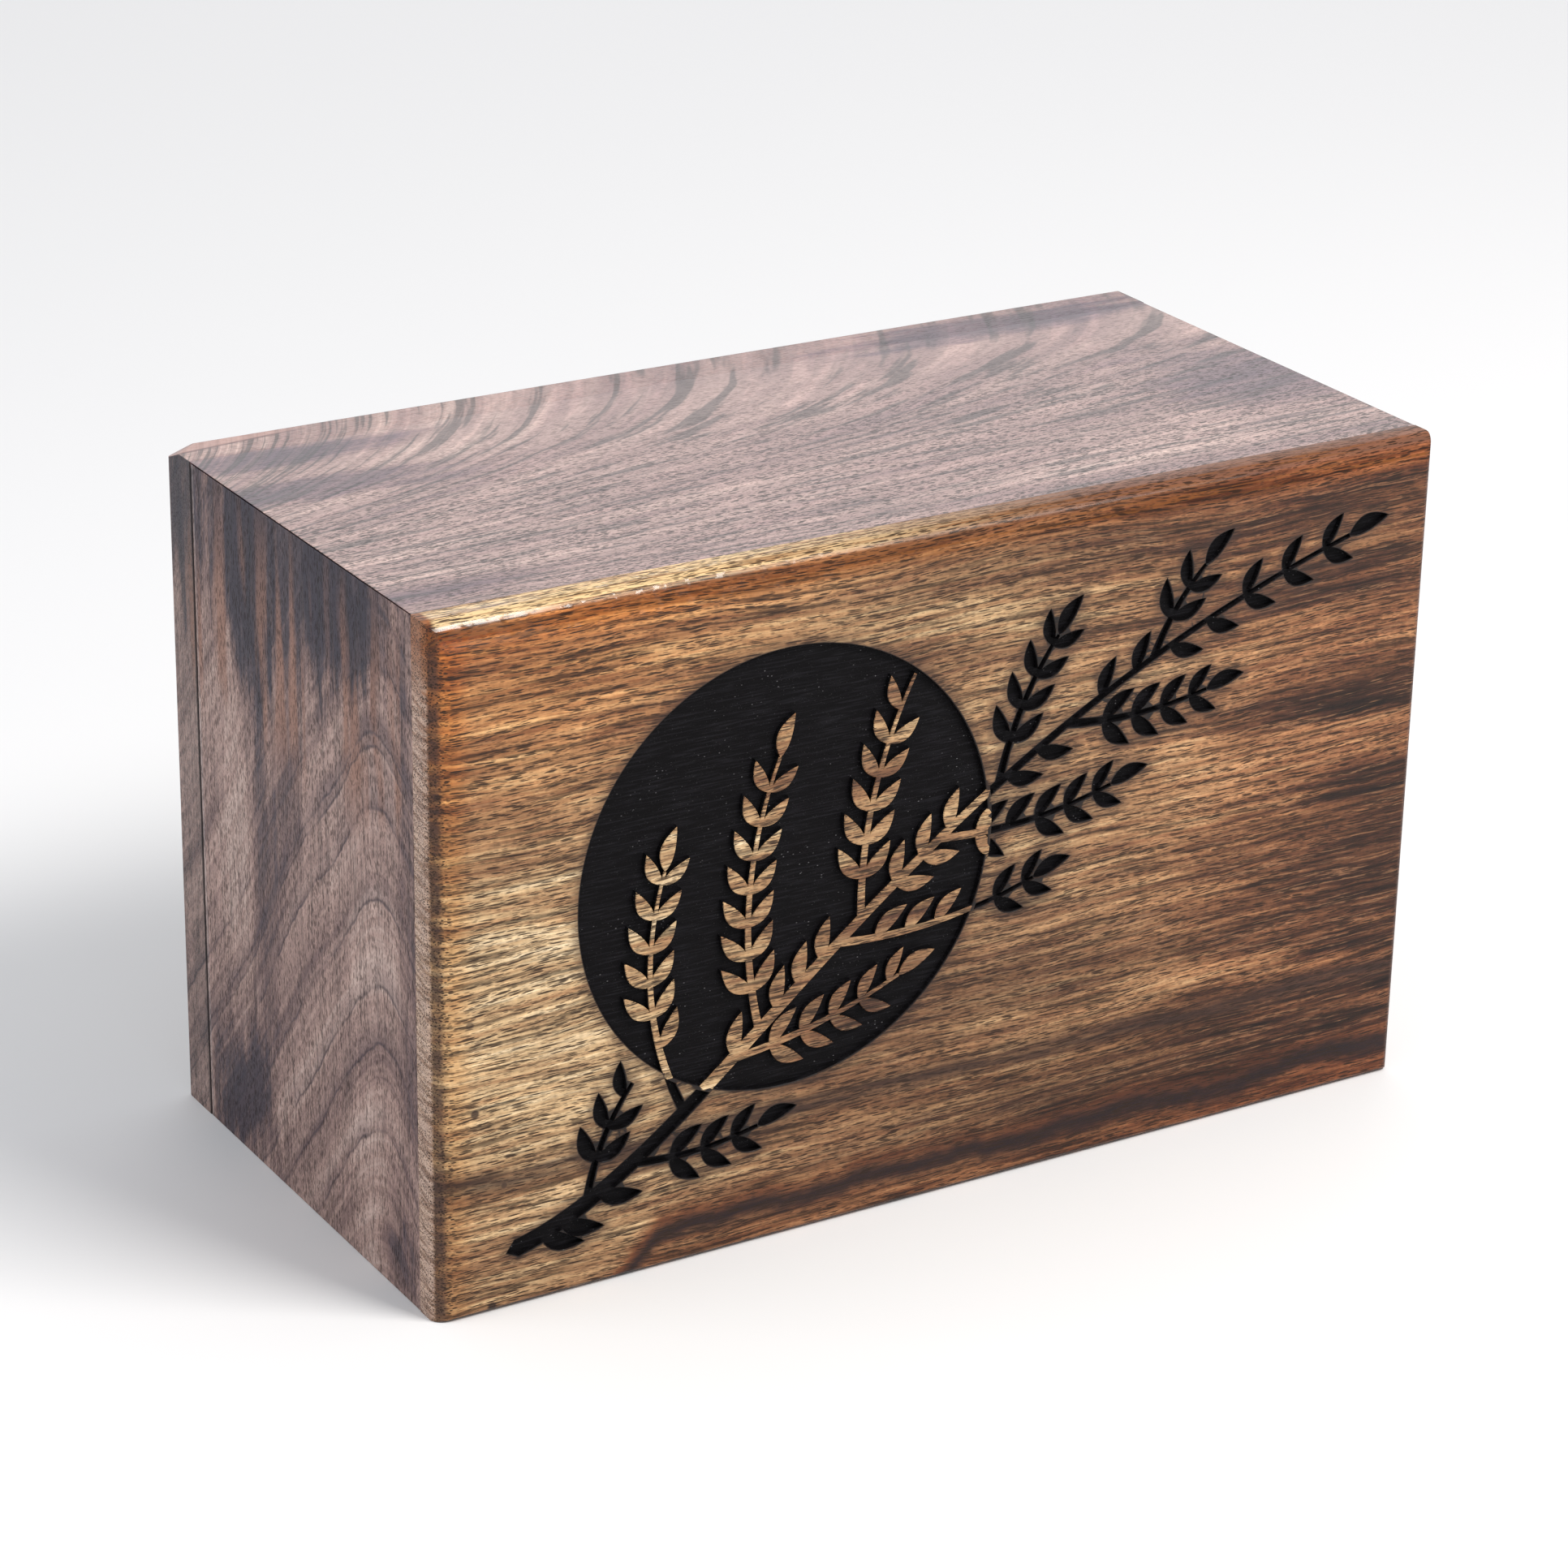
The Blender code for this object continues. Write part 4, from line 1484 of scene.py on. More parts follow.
@dataclass
class Engraving:
    """The moon and the branch, cut into the front board with sloped walls.

    Inside the moon the branch is left standing, and outside it is cut away, up to a narrow
    rim that stays round the moon.
    """

    drawing: Drawing
    face_y: float
    face_middle: float
    scale: float
    char: bpy.types.Material
    moon_depth: float = 0.0013
    branch_depth: float = 0.0014
    rim_gap: float = 0.001
    arris: float = 0.00012
    arris_depth: float = 0.00016
    draft: float = 0.00010
    lip_shift: float = 0.000006
    moon_sides: int = 240
    face_grid: float = 0.0016
    floor_grid: tuple[float, float] = (0.0024, 0.00055)
    floor_roughness: float = 0.00007
    clearance: float = 0.00035
    face_inset: float = 0.0008
    closest: float = 0.00009
    smallest_cut: float = 0.05 * MILLIMETRE ** 2
    sample_step: float = 0.00006
    unburnt: float = 0.05
    scorched_depth: float = 0.003
    outlines: list[list[Vector]] = field(default_factory=list)

    def circle(self, radius: float) -> list[Vector]:
        """Return a circle round the moon's centre, anticlockwise."""
        turns = [2 * math.pi * index / self.moon_sides for index in range(self.moon_sides)]
        return [(self.drawing.moon_centre + flat(turn, radius)) * self.scale for turn in turns]

    def leaf_outlines(self, stems: list[Stem]) -> list[list[Vector]]:
        """Set the leaves with Geometry Nodes and read their outlines.

        Args:
            stems: The stems that bear them.

        Returns:
            The outlines, anticlockwise.
        """
        spreader = leaf_spreader()
        sockets = {item.name: item.identifier for item in spreader.interface.items_tree}
        leaves = self.drawing.leaves(stems)
        outlines = []
        for side in Side:
            outline = self.drawing.leaf_outline(side)
            blank_mesh = bpy.data.meshes.new("Leaf blank")
            blank_mesh.from_pydata([(at.x, at.y, 0.0) for at in outline], [], [range(len(outline))])
            blank = place_mesh("Leaf blank", blank_mesh)
            own = [leaf for leaf in leaves if leaf.side is side]
            points = bpy.data.meshes.new("Leaf roots")
            points.from_pydata([(leaf.root.x, leaf.root.y, 0.0) for leaf in own], [], [])
            turn = points.attributes.new("turn", "FLOAT", "POINT")
            size = points.attributes.new("size", "FLOAT", "POINT")
            turn.data.foreach_set("value", [leaf.angle for leaf in own])
            size.data.foreach_set("value", [leaf.length for leaf in own])
            spread = place_mesh("Leaves", points)
            modifier = spread.modifiers.new("Leaf spreader", "NODES")
            modifier.node_group = spreader
            modifier[sockets["Leaf"]] = blank
            modifier[sockets["Finish"]] = self.char
            mesh = as_plain_mesh(spread)
            for polygon in mesh.polygons:
                corners = [mesh.vertices[index].co for index in polygon.vertices]
                outlines.append([Vector((at.x, at.y)) * self.scale for at in corners])
            bpy.data.objects.remove(spread)
            bpy.data.objects.remove(blank)
        return outlines

    def region_at(self, point: Vector) -> Region:
        """Say what a spot of the face is.

        Args:
            point: The spot, from the face's middle.

        Returns:
            The region.
        """
        reach = (point - self.drawing.moon_centre * self.scale).length
        in_moon = reach < self.drawing.moon_radius * self.scale
        in_ring = not in_moon and reach < (self.drawing.moon_radius + self.rim_gap) * self.scale
        if in_ring:
            return Region.FACE
        in_branch = any(holds(outline, point) for outline in self.outlines)
        return self.region_of(in_moon, in_branch, in_ring)

    @staticmethod
    def region_of(in_moon: bool, in_branch: bool, in_ring: bool) -> Region:
        """Return the region for a spot in or out of the moon, the branch and the rim."""
        if in_moon:
            return Region.FACE if in_branch else Region.MOON_FLOOR
        return Region.BRANCH_FLOOR if in_branch and not in_ring else Region.FACE

    def grid(self, low: Vector, high: Vector, steps: tuple[float, float]) -> list[Vector]:
        """Return points in rows between two corners, every other row set over by half.

        Args:
            low: The low corner.
            high: The high corner.
            steps: The spacing in each direction.

        Returns:
            The points.
        """
        counts = [max(1, round((high[axis] - low[axis]) / steps[axis])) for axis in (0, 1)]
        pitch = [(high[axis] - low[axis]) / counts[axis] for axis in (0, 1)]
        points = []
        for row in range(counts[1] + 1):
            over = 0.5 * (row % 2)
            for column in range(counts[0] + 1 - row % 2):
                points.append(Vector((low.x + (column + over) * pitch[0], low.y + row * pitch[1])))
        return points

    def first_net(self, loose: list[Vector]) -> tuple[Net, list[Region]]:
        """Lay all outlines over each other with some loose points, and name the regions.

        Args:
            loose: Points whose region is wanted; they come first in the net.

        Returns:
            The net and the region of each of its triangles.
        """
        drawing = self.drawing
        rings = [self.circle(drawing.moon_radius), self.circle(drawing.moon_radius + self.rim_gap)]
        points = list(loose)
        shapes = []
        for outline in rings + self.outlines:
            shapes.append(list(range(len(points), len(points) + len(outline))))
            points += outline
        net = Net(points, [], shapes).weave()
        regions = []
        for covers in net.covers:
            in_moon = 0 in covers
            in_ring = not in_moon and 1 in covers
            in_branch = any(number > 1 for number in covers)
            regions.append(self.region_of(in_moon, in_branch, in_ring))
        return net, regions

    def rims(self, net: Net, regions: list[Region]) -> list[Rim]:
        """Chain the edges between the cut regions and the face.

        Args:
            net: The first net.
            regions: The region of each of its triangles.

        Returns:
            The closed edges.
        """
        owner = {}
        for triangle, region in zip(net.triangles, regions):
            for start, end in zip(triangle, triangle[1:] + triangle[:1]):
                owner[(start, end)] = region
        ahead: dict[int, list[int]] = {}
        for (start, end), region in owner.items():
            if region is not Region.FACE and owner.get((end, start), Region.FACE) is Region.FACE:
                ahead.setdefault(start, []).append(end)
        rims = []
        while ahead:
            start = next(iter(ahead))
            chain = [start]
            at = start
            while True:
                ends = ahead[at]
                following = ends.pop()
                if not ends:
                    del ahead[at]
                if following == start:
                    break
                chain.append(following)
                at = following
            region = owner[(chain[0], chain[1])]
            points = self.thinned([net.spots[index] for index in chain])
            if len(points) > 3 and abs(enclosed(points)) > self.smallest_cut:
                rims.append(Rim(points, region))
        return rims

    def thinned(self, points: list[Vector]) -> list[Vector]:
        """Return a closed line without points that crowd the one before."""
        kept = [points[0]]
        for point in points[1:]:
            if (point - kept[-1]).length > self.closest:
                kept.append(point)
        while len(kept) > 1 and (kept[-1] - kept[0]).length <= self.closest:
            kept.pop()
        return kept

    def samples(self, rims: list[Rim]) -> KDTree:
        """Return close samples of the edges, for measuring distances.

        Args:
            rims: The edges.

        Returns:
            The samples.
        """
        spots = []
        for rim in rims:
            for start, end in zip(rim.points, rim.points[1:] + rim.points[:1]):
                steps = max(1, math.ceil((end - start).length / self.sample_step))
                spots += [start.lerp(end, step / steps) for step in range(steps)]
        tree = KDTree(len(spots))
        for index, spot in enumerate(spots):
            tree.insert((spot.x, spot.y, 0.0), index)
        tree.balance()
        return tree

    def lift(self, spot: Vector, height: float) -> Vector:
        """Return the place in space of a spot of the face, at a height above it."""
        return Vector((spot.x, self.face_y - height, spot.y + self.face_middle))

    def carve(self, board: bpy.types.Object) -> None:
        """Put the engraved face in the place of the board's plain one.

        Args:
            board: The board, whose front face is cut into cells.
        """
        self.outlines = self.leaf_outlines(self.drawing.stems())
        for stem in self.drawing.stems():
            self.outlines.append([point * self.scale for point in stem.outline()])
        bm = bmesh.new()
        bm.from_mesh(board.data)
        forward = [face for face in bm.faces if face.normal.y < -0.999]
        plain = [face for face in forward if abs(face.calc_center_median().y - self.face_y) < 1e-6]
        bmesh.ops.delete(bm, geom=plain, context="FACES_ONLY")
        bmesh.ops.delete(bm, geom=[edge for edge in bm.edges if not edge.link_faces], context="EDGES")
        bmesh.ops.delete(bm, geom=[vert for vert in bm.verts if not vert.link_edges], context="VERTS")
        border = [edge for edge in bm.edges if edge.is_boundary]
        border_verts = list({vert for edge in border for vert in edge.verts})
        flat_border = [Vector((vert.co.x, vert.co.z - self.face_middle)) for vert in border_verts]
        number = {vert: index for index, vert in enumerate(border_verts)}
        lines = [(number[edge.verts[0]], number[edge.verts[1]]) for edge in border]
        low = Vector((min(at.x for at in flat_border), min(at.y for at in flat_border)))
        high = Vector((max(at.x for at in flat_border), max(at.y for at in flat_border)))
        inset = Vector((self.face_inset, self.face_inset))
        face_points = self.grid(low + inset, high - inset, (self.face_grid, self.face_grid))
        floor_points = self.grid(low + inset, high - inset, self.floor_grid)
        loose = face_points + floor_points
        net, regions = self.first_net(loose)
        known = [Region.FACE] * len(loose)
        for triangle, region in zip(net.triangles, regions):
            for index in triangle:
                if 0 <= net.sources[index] < len(loose):
                    known[net.sources[index]] = region
        rims = self.rims(net, regions)
        crowd = self.samples(rims)
        clear = [crowd.find((at.x, at.y, 0.0))[2] > self.clearance for at in loose]
        top_rims = moved_rims(rims, -self.arris)
        foot_rims = moved_rims(rims, self.draft)
        spots = [(at, region is Region.FACE, free) for at, region, free in zip(loose, known, clear)]
        split = len(face_points)
        on_face = [at for at, upper, free in spots[:split] if upper and free]
        on_floor = [at for at, upper, free in spots[split:] if free and not upper]
        top_verts = self.lay(bm, on_face, top_rims, border_verts, flat_border, lines, True)
        foot_verts = self.lay(bm, on_floor, foot_rims, [], [], [], False)
        self.wall(bm, rims, top_verts, foot_verts)
        bmesh.ops.holes_fill(bm, edges=[edge for edge in bm.edges if edge.is_boundary], sides=12)
        bm.normal_update()
        bm.to_mesh(board.data)
        bm.free()
        log.info("engraving: %d edges, %d leaves and stems", len(rims), len(self.outlines))

    def lay(
        self,
        bm: bmesh.types.BMesh,
        loose: list[Vector],
        rims: list[list[Vector]],
        border_verts: list[bmesh.types.BMVert],
        flat_border: list[Vector],
        lines: list[tuple[int, int]],
        upper: bool,
    ) -> list[list[bmesh.types.BMVert]]:
        """Add the face round the cuts, or their floors.

        Args:
            bm: The board's mesh.
            loose: Points between the edges.
            rims: The edges that bound the cuts at this level.
            border_verts: Vertices of the face's own border.
            flat_border: Their places on the face.
            lines: The border's edges, as pairs of numbers.
            upper: Whether the face is laid, not the floors.

        Returns:
            The vertices of each edge.
        """
        rim_start = len(flat_border) + len(loose)
        points = flat_border + loose + [point for rim in rims for point in rim]
        net = Net(points, lines + closed_lines(rims, rim_start)).weave()
        made: dict[int, bmesh.types.BMVert] = {
            index: border_verts[source]
            for index, source in enumerate(net.sources)
            if 0 <= source < len(border_verts)
        }
        wanted = (Region.FACE,) if upper else (Region.MOON_FLOOR, Region.BRANCH_FLOOR)
        depths = {
            Region.FACE: 0.0,
            Region.MOON_FLOOR: self.moon_depth,
            Region.BRANCH_FLOOR: self.branch_depth,
        }
        for group in net.patches():
            largest = max(group, key=net.area)
            region = self.region_at(net.centre(largest))
            if region not in wanted:
                continue
            for triangle in group:
                corners = []
                for index in net.triangles[triangle]:
                    if index not in made:
                        spot = net.spots[index]
                        height = -depths[region]
                        if not upper and net.sources[index] < rim_start:
                            place = Vector((spot.x / 0.012, 3.7, spot.y / 0.0009))
                            height += noise.noise(place) * self.floor_roughness
                        made[index] = bm.verts.new(self.lift(spot, height))
                    corners.append(made[index])
                face = bm.faces.new(corners)
                face.material_index = 0 if upper else 1
        result = []
        start = rim_start
        for rim in rims:
            result.append([made.get(net.homes[start + index]) for index in range(len(rim))])
            start += len(rim)
        return result

    def wall(
        self,
        bm: bmesh.types.BMesh,
        rims: list[Rim],
        top_verts: list[list[bmesh.types.BMVert]],
        foot_verts: list[list[bmesh.types.BMVert]],
    ) -> None:
        """Join the face to the floors with a narrow arris and a wall.

        The line between arris and wall is set in a little, so that it stays apart from
        another cut's where the two touch in a point.

        Args:
            bm: The board's mesh.
            rims: The edges.
            top_verts: Their vertices on the face.
            foot_verts: Their vertices on the floors.
        """
        for rim, tops, feet in zip(rims, top_verts, foot_verts):
            line = rim.moved(self.lip_shift, [1.0] * len(rim.points))
            lips = [bm.verts.new(self.lift(point, -self.arris_depth)) for point in line]
            for upper, lower, material in ((tops, lips, 0), (lips, feet, 1)):
                for index in range(len(lips)):
                    after = (index + 1) % len(lips)
                    corners = [upper[index], lower[index], lower[after], upper[after]]
                    if None in corners:
                        continue
                    face = bm.faces.new(corners)
                    face.material_index = material

    def scorch(self, mesh: bpy.types.Mesh) -> None:
        """Store on each point how far it is from the nearest burnt edge outside the moon.

        Args:
            mesh: The board's mesh.
        """
        centre = self.drawing.moon_centre * self.scale
        radius = self.drawing.moon_radius * self.scale
        net, regions = self.first_net([])
        outer = [rim for rim in self.rims(net, regions) if rim.region is Region.BRANCH_FLOOR]
        outer.append(Rim(self.circle(self.drawing.moon_radius), Region.MOON_FLOOR))
        tree = self.samples(outer)
        values = []
        for vertex in mesh.vertices:
            spot = Vector((vertex.co.x, vertex.co.z - self.face_middle))
            depth = vertex.co.y - self.face_y
            if (spot - centre).length < radius - 0.0002 or depth > self.scorched_depth:
                values.append(self.unburnt)
            else:
                values.append(min(self.unburnt, tree.find((spot.x, spot.y, 0.0))[2]))
        gaps = mesh.attributes.new("scorch_gap", "FLOAT", "POINT")
        gaps.data.foreach_set("value", values)


def holds(outline: list[Vector], point: Vector) -> bool:
    """Say whether a closed outline holds a point."""
    inside = False
    for a, b in zip(outline, outline[1:] + outline[:1]):
        if (a.y > point.y) != (b.y > point.y):
            crossing = a.x + (b.x - a.x) * (point.y - a.y) / (b.y - a.y)
            if point.x < crossing:
                inside = not inside
    return inside


def enclosed(points: list[Vector]) -> float:
    """Return the area that a closed line encloses, positive if anticlockwise."""
    return sum(a.cross(b) for a, b in zip(points, points[1:] + points[:1])) / 2


@dataclass
class FrontBoard(Board):
    """The front board, whose face is engraved."""

    engraving: Engraving | None = None

    def work(self, piece: bpy.types.Object) -> None:
        """Engrave the board and store its scorch distances."""
        piece.data.materials.append(None)
        piece.data.materials.append(None)
        self.engraving.carve(piece)
        self.engraving.scorch(piece.data)


@dataclass
class BackBoard(Board):
    """The back board, whose upper left corner is worn down to a small facet."""

    worn: tuple[float, float, float] = (0.0075, 0.0065, 0.0026)

    def work(self, piece: bpy.types.Object) -> None:
        """Cut the worn corner off and close the cut."""
        along, forwards, down = self.worn
        start = Vector((self.low.x + along, self.high.y, self.high.z))
        normal = Vector((-1.0 / along, 1.0 / forwards, 1.0 / down)).normalized()
        bm = bmesh.new()
        bm.from_mesh(piece.data)
        geometry = list(bm.verts) + list(bm.edges) + list(bm.faces)
        cut = bmesh.ops.bisect_plane(
            bm, geom=geometry, dist=1e-6, plane_co=start, plane_no=normal, clear_outer=True
        )
        border = [part for part in cut["geom_cut"] if isinstance(part, bmesh.types.BMEdge)]
        bmesh.ops.contextual_create(bm, geom=border)
        bm.normal_update()
        bm.to_mesh(piece.data)
        bm.free()


@dataclass
class BaseScrews:
    """The four countersunk screws that hold the base panel, with cross recesses."""

    nodes: tuple[str, ...] = (
        "base_screw_front_left",
        "base_screw_front_right",
        "base_screw_back_left",
        "base_screw_back_right",
    )

    def dress(self, steel: bpy.types.Material) -> None:
        """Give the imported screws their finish.

        Args:
            steel: The material.
        """
        for node in self.nodes:
            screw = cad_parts[node]
            for slot in screw.material_slots:
                slot.material = steel
            log.info("%s: finish only", node)


@dataclass
class Studio:
    """The camera, the lights and the floor."""

    eye: Vector = field(default_factory=lambda: Vector((-0.52077, -0.84444, 0.49289)))
    yaw: float = 31.4313
    pitch: float = 22.797
    roll: float = 1.0651
    focal_length: float = 107.681
    sensor: float = 36.0

    def set_camera(self) -> None:
        """Create the camera at the photograph's viewing angle."""
        yaw, pitch, roll = (math.radians(angle) for angle in (self.yaw, self.pitch, self.roll))
        ahead = Vector((math.sin(yaw) * math.cos(pitch), math.cos(yaw) * math.cos(pitch), -math.sin(pitch)))
        level = ahead.cross(Vector((0.0, 0.0, 1.0))).normalized()
        upright = level.cross(ahead)
        right = level * math.cos(roll) + upright * math.sin(roll)
        up = upright * math.cos(roll) - level * math.sin(roll)
        data = bpy.data.cameras.new("Camera")
        data.lens = self.focal_length
        data.sensor_width = self.sensor
        data.clip_start = 0.01
        camera = bpy.data.objects.new("Camera", data)
        bpy.context.scene.collection.objects.link(camera)
        turn = Matrix((right, up, -ahead)).transposed().to_4x4()
        camera.matrix_world = Matrix.Translation(self.eye) @ turn
        bpy.context.scene.camera = camera

    def add_softbox(
        self,
        name: str,
        place: Vector,
        target: Vector,
        size: tuple[float, float],
        power: float,
        colour: Colour,
    ) -> None:
        """Add a rectangular soft light that looks at a point.

        Args:
            name: The light's name.
            place: Where it hangs.
            target: What it looks at.
            size: Its width and height in metres.
            power: Its power in watts.
            colour: Its colour.
        """
        data = bpy.data.lights.new(name, "AREA")
        data.shape = "RECTANGLE"
        data.size, data.size_y = size
        data.energy = power
        data.color = colour
        light = bpy.data.objects.new(name, data)
        light.location = place
        light.rotation_euler = (target - place).to_track_quat("-Z", "Y").to_euler()
        bpy.context.scene.collection.objects.link(light)

    def set_world(self, colour: Colour, strength: float) -> None:
        """Light the room evenly with a colour, at a strength."""
        world = bpy.data.worlds.new("Room")
        world.use_nodes = True
        background = world.node_tree.nodes["Background"]
        background.inputs["Color"].default_value = (*colour, 1.0)
        background.inputs["Strength"].default_value = strength
        bpy.context.scene.world = world

    def lay_floor(self, material: bpy.types.Material) -> None:
        """Lay the floor under the box.

        Args:
            material: The floor's material.
        """
        mesh = bpy.data.meshes.new("floor")
        reach = 6.0
        ways = ((-1, -1), (1, -1), (1, 1), (-1, 1))
        mesh.from_pydata([(reach * x, reach * y, 0.0) for x, y in ways], [], [(0, 1, 2, 3)])
        mesh.materials.append(material)
        place_mesh("floor", mesh)

    def build(self) -> None:
        """Set up the whole studio."""
        bpy.context.scene.view_settings.view_transform = "Standard"
        self.set_camera()
        self.lay_floor(Floor().material())
        middle = Vector((0.0, 0.0, 0.08))
        self.set_world((0.97, 0.98, 1.0), 0.62)
        self.add_softbox("Key light", Vector((0.55, -0.9, 1.25)), middle, (0.7, 0.5), 22.0, (1.0, 0.97, 0.93))
        self.add_softbox("Back light", Vector((0.9, 1.5, 0.9)), middle, (1.6, 1.0), 4.0, (1.0, 0.99, 1.0))
        self.add_softbox("Left light", Vector((-1.3, 0.3, 0.5)), middle, (0.8, 0.8), 5.0, (0.86, 0.92, 1.0))


def box_of(node: str) -> Box:
    """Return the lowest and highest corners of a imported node."""
    low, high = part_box(node)
    return Vector(low), Vector(high)


def front_finish() -> FrontWood:
    """Return the front board's wood."""
    return FrontWood(
        name="Golden brown wood",
        grain=Grain.ACROSS,
        stops=(
            (0.02, (0.020, 0.009, 0.007)),
            (0.20, (0.078, 0.033, 0.019)),
            (0.38, (0.190, 0.089, 0.042)),
            (0.56, (0.355, 0.200, 0.096)),
            (0.76, (0.565, 0.385, 0.205)),
            (0.97, (0.780, 0.610, 0.390)),
        ),
        level=0.48,
        contrast=2.15,
        fine_share=0.46,
        pore_width=0.46,
        pore_length=4.4,
        pore_depth=0.92,
        pore_colour=(0.024, 0.011, 0.006),
        streaks=0.66,
        ripple=0.17,
        area_share=0.6,
        blots=(
            # Lighter area at the left: lighter wood, and part of its lightness is a painted reflection of the
            # lacquer's glare.
            Blot(-95.0, 62.0, 75.0, 72.0, 0.45),
            Blot(-104.0, 148.0, 60.0, 24.0, -0.04),
            Blot(-10.0, 142.0, 90.0, 9.0, 0.08),
            Blot(20.0, 96.0, 80.0, 32.0, 0.12),
            Blot(-75.0, 53.0, 60.0, 6.0, -0.14),
            Blot(20.0, 48.0, 85.0, 13.0, -0.24),
            Blot(115.0, 101.0, 62.0, 10.0, -0.46),
            Blot(118.0, 86.0, 48.0, 9.0, 0.12),
            Blot(125.0, 60.0, 66.0, 46.0, -0.50),
            Blot(75.0, 18.0, 105.0, 22.0, -0.42),
            Blot(70.0, 147.0, 90.0, 12.0, -0.16),
            Blot(114.0, 135.0, 66.0, 24.0, -0.32),
        ),
    )


def side_finish() -> SideWood:
    """Return the side boards' wood."""
    return SideWood(
        name="Slate brown wood",
        grain=Grain.UPRIGHT,
        figure=Figure.CATHEDRAL,
        stops=(
            (0.05, (0.024, 0.018, 0.032)),
            (0.30, (0.066, 0.046, 0.056)),
            (0.52, (0.180, 0.110, 0.100)),
            (0.72, (0.350, 0.230, 0.196)),
            (0.95, (0.500, 0.365, 0.315)),
        ),
        band_width=17.0,
        contrast=1.5,
        fine_share=0.42,
        level=0.66,
        sway=9.0,
        pore_width=0.5,
        pore_length=2.1,
        pore_depth=0.66,
        streaks=0.34,
        ripple=0.10,
        gloss=0.15,
        seed=3.7,
        blots=(
            Blot(6.0, 158.0, 80.0, 42.0, -0.46),
            Blot(22.0, 146.0, 16.0, 44.0, -0.64),
            Blot(-20.0, 150.0, 18.0, 30.0, -0.50),
            Blot(54.0, 150.0, 11.0, 40.0, -0.30),
            Blot(6.0, 96.0, 9.0, 34.0, -0.22),
            Blot(17.0, 70.0, 9.0, 52.0, -0.26),
            Blot(33.0, 82.0, 12.0, 46.0, 0.20),
            Blot(-34.0, 78.0, 24.0, 30.0, 0.14),
            Blot(-32.0, 24.0, 14.0, 30.0, 0.18),
            Blot(30.0, 14.0, 24.0, 26.0, -0.40),
            Blot(-52.0, 90.0, 6.0, 90.0, -0.20),
            Blot(-46.0, 8.0, 14.0, 14.0, -0.30),
        ),
    )


def top_finish() -> TopWood:
    """Return the top board's wood."""
    return TopWood(
        name="Rose brown wood",
        grain=Grain.ACROSS,
        figure=Figure.SWEEPING,
        stops=(
            (0.05, (0.062, 0.030, 0.050)),
            (0.30, (0.152, 0.082, 0.093)),
            (0.55, (0.270, 0.160, 0.146)),
            (0.78, (0.420, 0.275, 0.240)),
            (0.97, (0.580, 0.420, 0.360)),
        ),
        band_width=13.0,
        contrast=1.9,
        fine_share=0.46,
        level=0.64,
        pore_width=0.62,
        pore_length=2.4,
        pore_depth=0.9,
        streaks=0.65,
        ripple=0.15,
        gloss=0.55,
        gloss_roughness=0.22,
        sheen_level=0.3,
        seed=11.2,
        blots=(
            Blot(-112.0, 45.0, 50.0, 9.0, -0.52),
            Blot(-112.0, 22.0, 56.0, 9.0, -0.50),
            Blot(-114.0, -46.0, 34.0, 10.0, -0.30),
            Blot(90.0, 53.0, 70.0, 11.0, -0.55),
            Blot(118.0, -10.0, 40.0, 40.0, -0.34),
            Blot(-20.0, 30.0, 80.0, 22.0, 0.10),
            Blot(60.0, -52.0, 90.0, 5.0, -0.18),
        ),
    )


@dataclass(frozen=True)
class BackWood(Wood):
    """The back board's wood, whose edges carry on the tone of the boards beside them.

    The facet holds how far its worn upper left corner reaches along X, Y and Z.
    """

    corner: tuple[float, float, float] = (-127.0, 63.5, 159.0)
    facet: tuple[float, float, float] = (7.5, 6.5, 2.6)
    top: TopWood = field(default_factory=top_finish)
    side: SideWood = field(default_factory=side_finish)

    def material(self) -> bpy.types.Material:
        """Build the material.

        Returns:
            The finished material.
        """
        graph = Graph(self.name)
        x, y, z = graph.millimetres()
        colour, pores, height = self.paint(graph)
        side_colour, _, _ = self.side.paint(graph)
        top_colour, _, _ = self.top.paint(graph)
        on_side = abs(x).step(124.6, 126.0)
        left, rear, crown = self.corner
        along, forwards, down = self.facet
        worn = (x - left) / -along + (y - rear) / forwards + (z - crown) / down + 1.0
        facet = worn.step(-0.04, -0.01)
        on_top = (z.step(157.4, 158.2) * abs(x).step(126.95, 126.7)).at_least(facet)
        colour = graph.mix(on_side, colour, graph.shade(side_colour, 0.74))
        colour = graph.mix(on_top, colour, top_colour)
        planed = y - x * 0.11 - 71.0
        corner = on_top * x.step(-90.0, -106.0)
        colour = graph.mix(corner * planed.step(-0.3, 0.3) * 0.7, colour, (0.44, 0.245, 0.205))
        colour = graph.mix(corner * planed.bump_at(0.0, 0.8) * 0.8, colour, (0.085, 0.030, 0.028))
        colour = graph.mix(facet * 0.7, colour, (0.36, 0.21, 0.18))
        return graph.finish(
            {
                "Base Color": colour,
                "Roughness": pores * PORE_ROUGHNESS + self.base_roughness,
                "Specular IOR Level": self.sheen_level,
                "Coat Weight": on_top * (self.top.gloss - self.gloss) + self.gloss,
                "Coat Roughness": self.gloss_roughness,
                "Normal": graph.bump(height, WOOD_BUMP, WOOD_BUMP_HEIGHT),
            }
        )


def back_finish() -> BackWood:
    """Return the back board's wood."""
    return BackWood(
        name="Plain brown wood",
        grain=Grain.ACROSS,
        stops=(
            (0.05, (0.040, 0.020, 0.014)),
            (0.35, (0.120, 0.060, 0.034)),
            (0.60, (0.230, 0.130, 0.072)),
            (0.92, (0.380, 0.240, 0.145)),
        ),
        contrast=1.7,
        level=0.58,
        pore_width=0.6,
        pore_length=3.2,
        streaks=0.4,
        gloss=0.2,
        gloss_roughness=0.22,
        sheen_level=0.15,
        seed=23.0,
    )


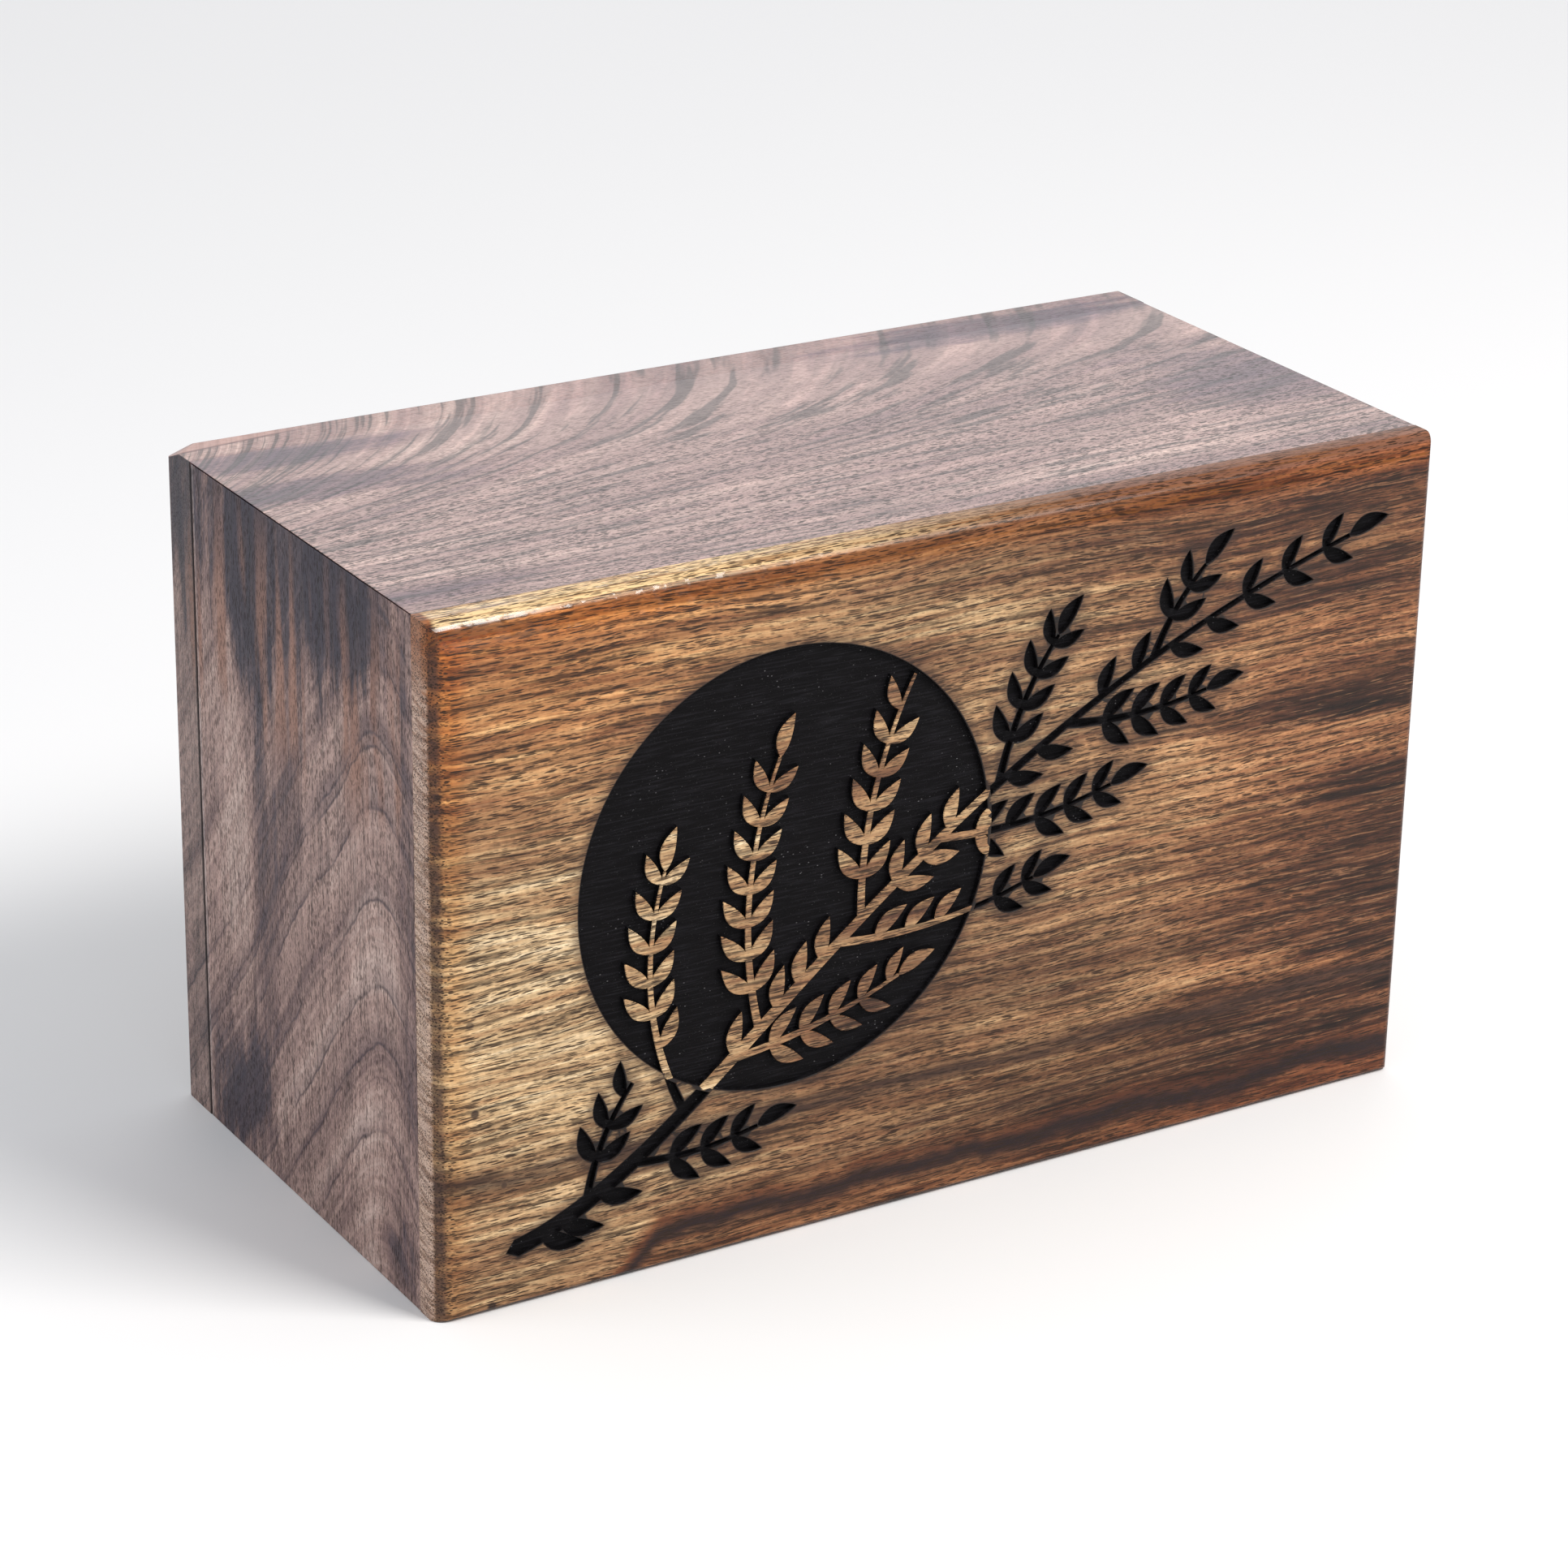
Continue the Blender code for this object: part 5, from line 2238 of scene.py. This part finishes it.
def base_finish() -> Wood:
    """Return the base panel's wood."""
    return Wood(
        name="Bare brown wood",
        grain=Grain.ACROSS,
        figure=Figure.SWEEPING,
        stops=(
            (0.10, (0.110, 0.065, 0.042)),
            (0.50, (0.260, 0.160, 0.098)),
            (0.90, (0.400, 0.270, 0.180)),
        ),
        contrast=1.2,
        level=0.55,
        gloss=0.0,
        base_roughness=0.6,
        seed=31.0,
    )


def middle_boards(front_inner: float, back_inner: float) -> list[tuple[Board, bpy.types.Material]]:
    """Describe the boards between the front and the back, with their finishes.

    Args:
        front_inner: The Y of the front board's inner face.
        back_inner: The Y of the back board's inner face.

    Returns:
        The sides and the top.
    """
    tight = 0.00001
    arris = 0.0003
    fine = 0.0001
    front = front_inner + tight
    rear = back_inner - tight
    side_low, side_high = box_of("left_side")
    left, inside = side_low.x, side_high.x
    top_low, top_high = box_of("top_board")
    base_low, base_high = box_of("base_panel")
    gap = 0.0003
    rebate = base_low.x - gap
    rebate_top = base_high.z + gap
    mitre = 0.00006
    side_wood = side_finish().material()
    boards = []
    for name, node, way in (("left_side_board", "left_side", 1), ("right_side_board", "right_side", -1)):
        corners = (
            (way * left, side_low.z, arris),
            (way * rebate, side_low.z, fine),
            (way * rebate, rebate_top, fine),
            (way * inside, rebate_top, fine),
            (way * inside, top_low.z - mitre, fine),
            (way * left, top_high.z - mitre - 0.0001, 0.0002),
        )
        xs = [x for x, _, _ in corners]
        board = ProfileBoard(
            name=name,
            nodes=(node,),
            slot="side_wood",
            low=Vector((min(xs), front, side_low.z)),
            high=Vector((max(xs), side_high.y, top_high.z)),
            radii={},
            corners=corners,
            end_radius=0.0003,
        )
        boards.append((board, side_wood))
    reach = -left
    top_corners = (
        (-reach + mitre, top_high.z, 0.00025),
        (-reach + mitre + (top_high.z - top_low.z), top_low.z, fine),
        (reach - mitre - (top_high.z - top_low.z), top_low.z, fine),
        (reach - mitre, top_high.z, 0.00025),
    )
    top = ProfileBoard(
        name="top_board_mitred",
        nodes=("top_board",),
        slot="top_wood",
        low=Vector((-reach, front, top_low.z)),
        high=Vector((reach, rear, top_high.z)),
        radii={},
        corners=top_corners,
        end_radius=0.0,
    )
    boards.append((top, top_finish().material()))
    return boards


def main() -> None:
    """Build the studio and every board, in order, and report each piece."""
    logging.basicConfig(level=logging.INFO, format="%(name)s: %(message)s")
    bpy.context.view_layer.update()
    Studio().build()
    char = Char().material()
    base_wood = base_finish().material()
    front_low, front_high = box_of("front_board")
    back_low, back_high = box_of("back_board")
    drawing = Drawing()
    scale = drawing.fit(front_high.x - front_low.x, front_high.z - front_low.z)
    engraving = Engraving(drawing, front_low.y, (front_low.z + front_high.z) / 2, scale, char)
    front = FrontBoard(
        name="front_board_engraved",
        nodes=("front_board",),
        slot="front_wood",
        low=front_low,
        high=front_high,
        radii={(-1, -1, 0): 0.006, (0, -1, 1): 0.006, (1, -1, 0): 0.0025, (0, -1, -1): 0.0015},
        segments=8,
        grid=0.0064,
        engraving=engraving,
    )
    front.dress(front.build(), [front_finish().material(), char])

    back = BackBoard(
        name="back_board_rounded",
        nodes=("back_board",),
        slot="back_wood",
        low=back_low,
        high=back_high,
        radii={
            (-1, 1, 0): 0.0012,
            (1, 1, 0): 0.003,
            (0, 1, 1): 0.0012,
            (0, 1, -1): 0.001,
            (-1, -1, 0): 0.0005,
            (1, -1, 0): 0.0005,
        },
    )
    back.dress(back.build(), [back_finish().material()])
    for board, finish in middle_boards(front_high.y, back_low.y):
        board.dress(board.build(), [finish])
    BaseScrews().dress(Steel().material())
    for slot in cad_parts["base_panel"].material_slots:
        slot.material = base_wood
    log.info("base_panel: finish only")
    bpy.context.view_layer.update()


if __name__ == "__main__":
    main()
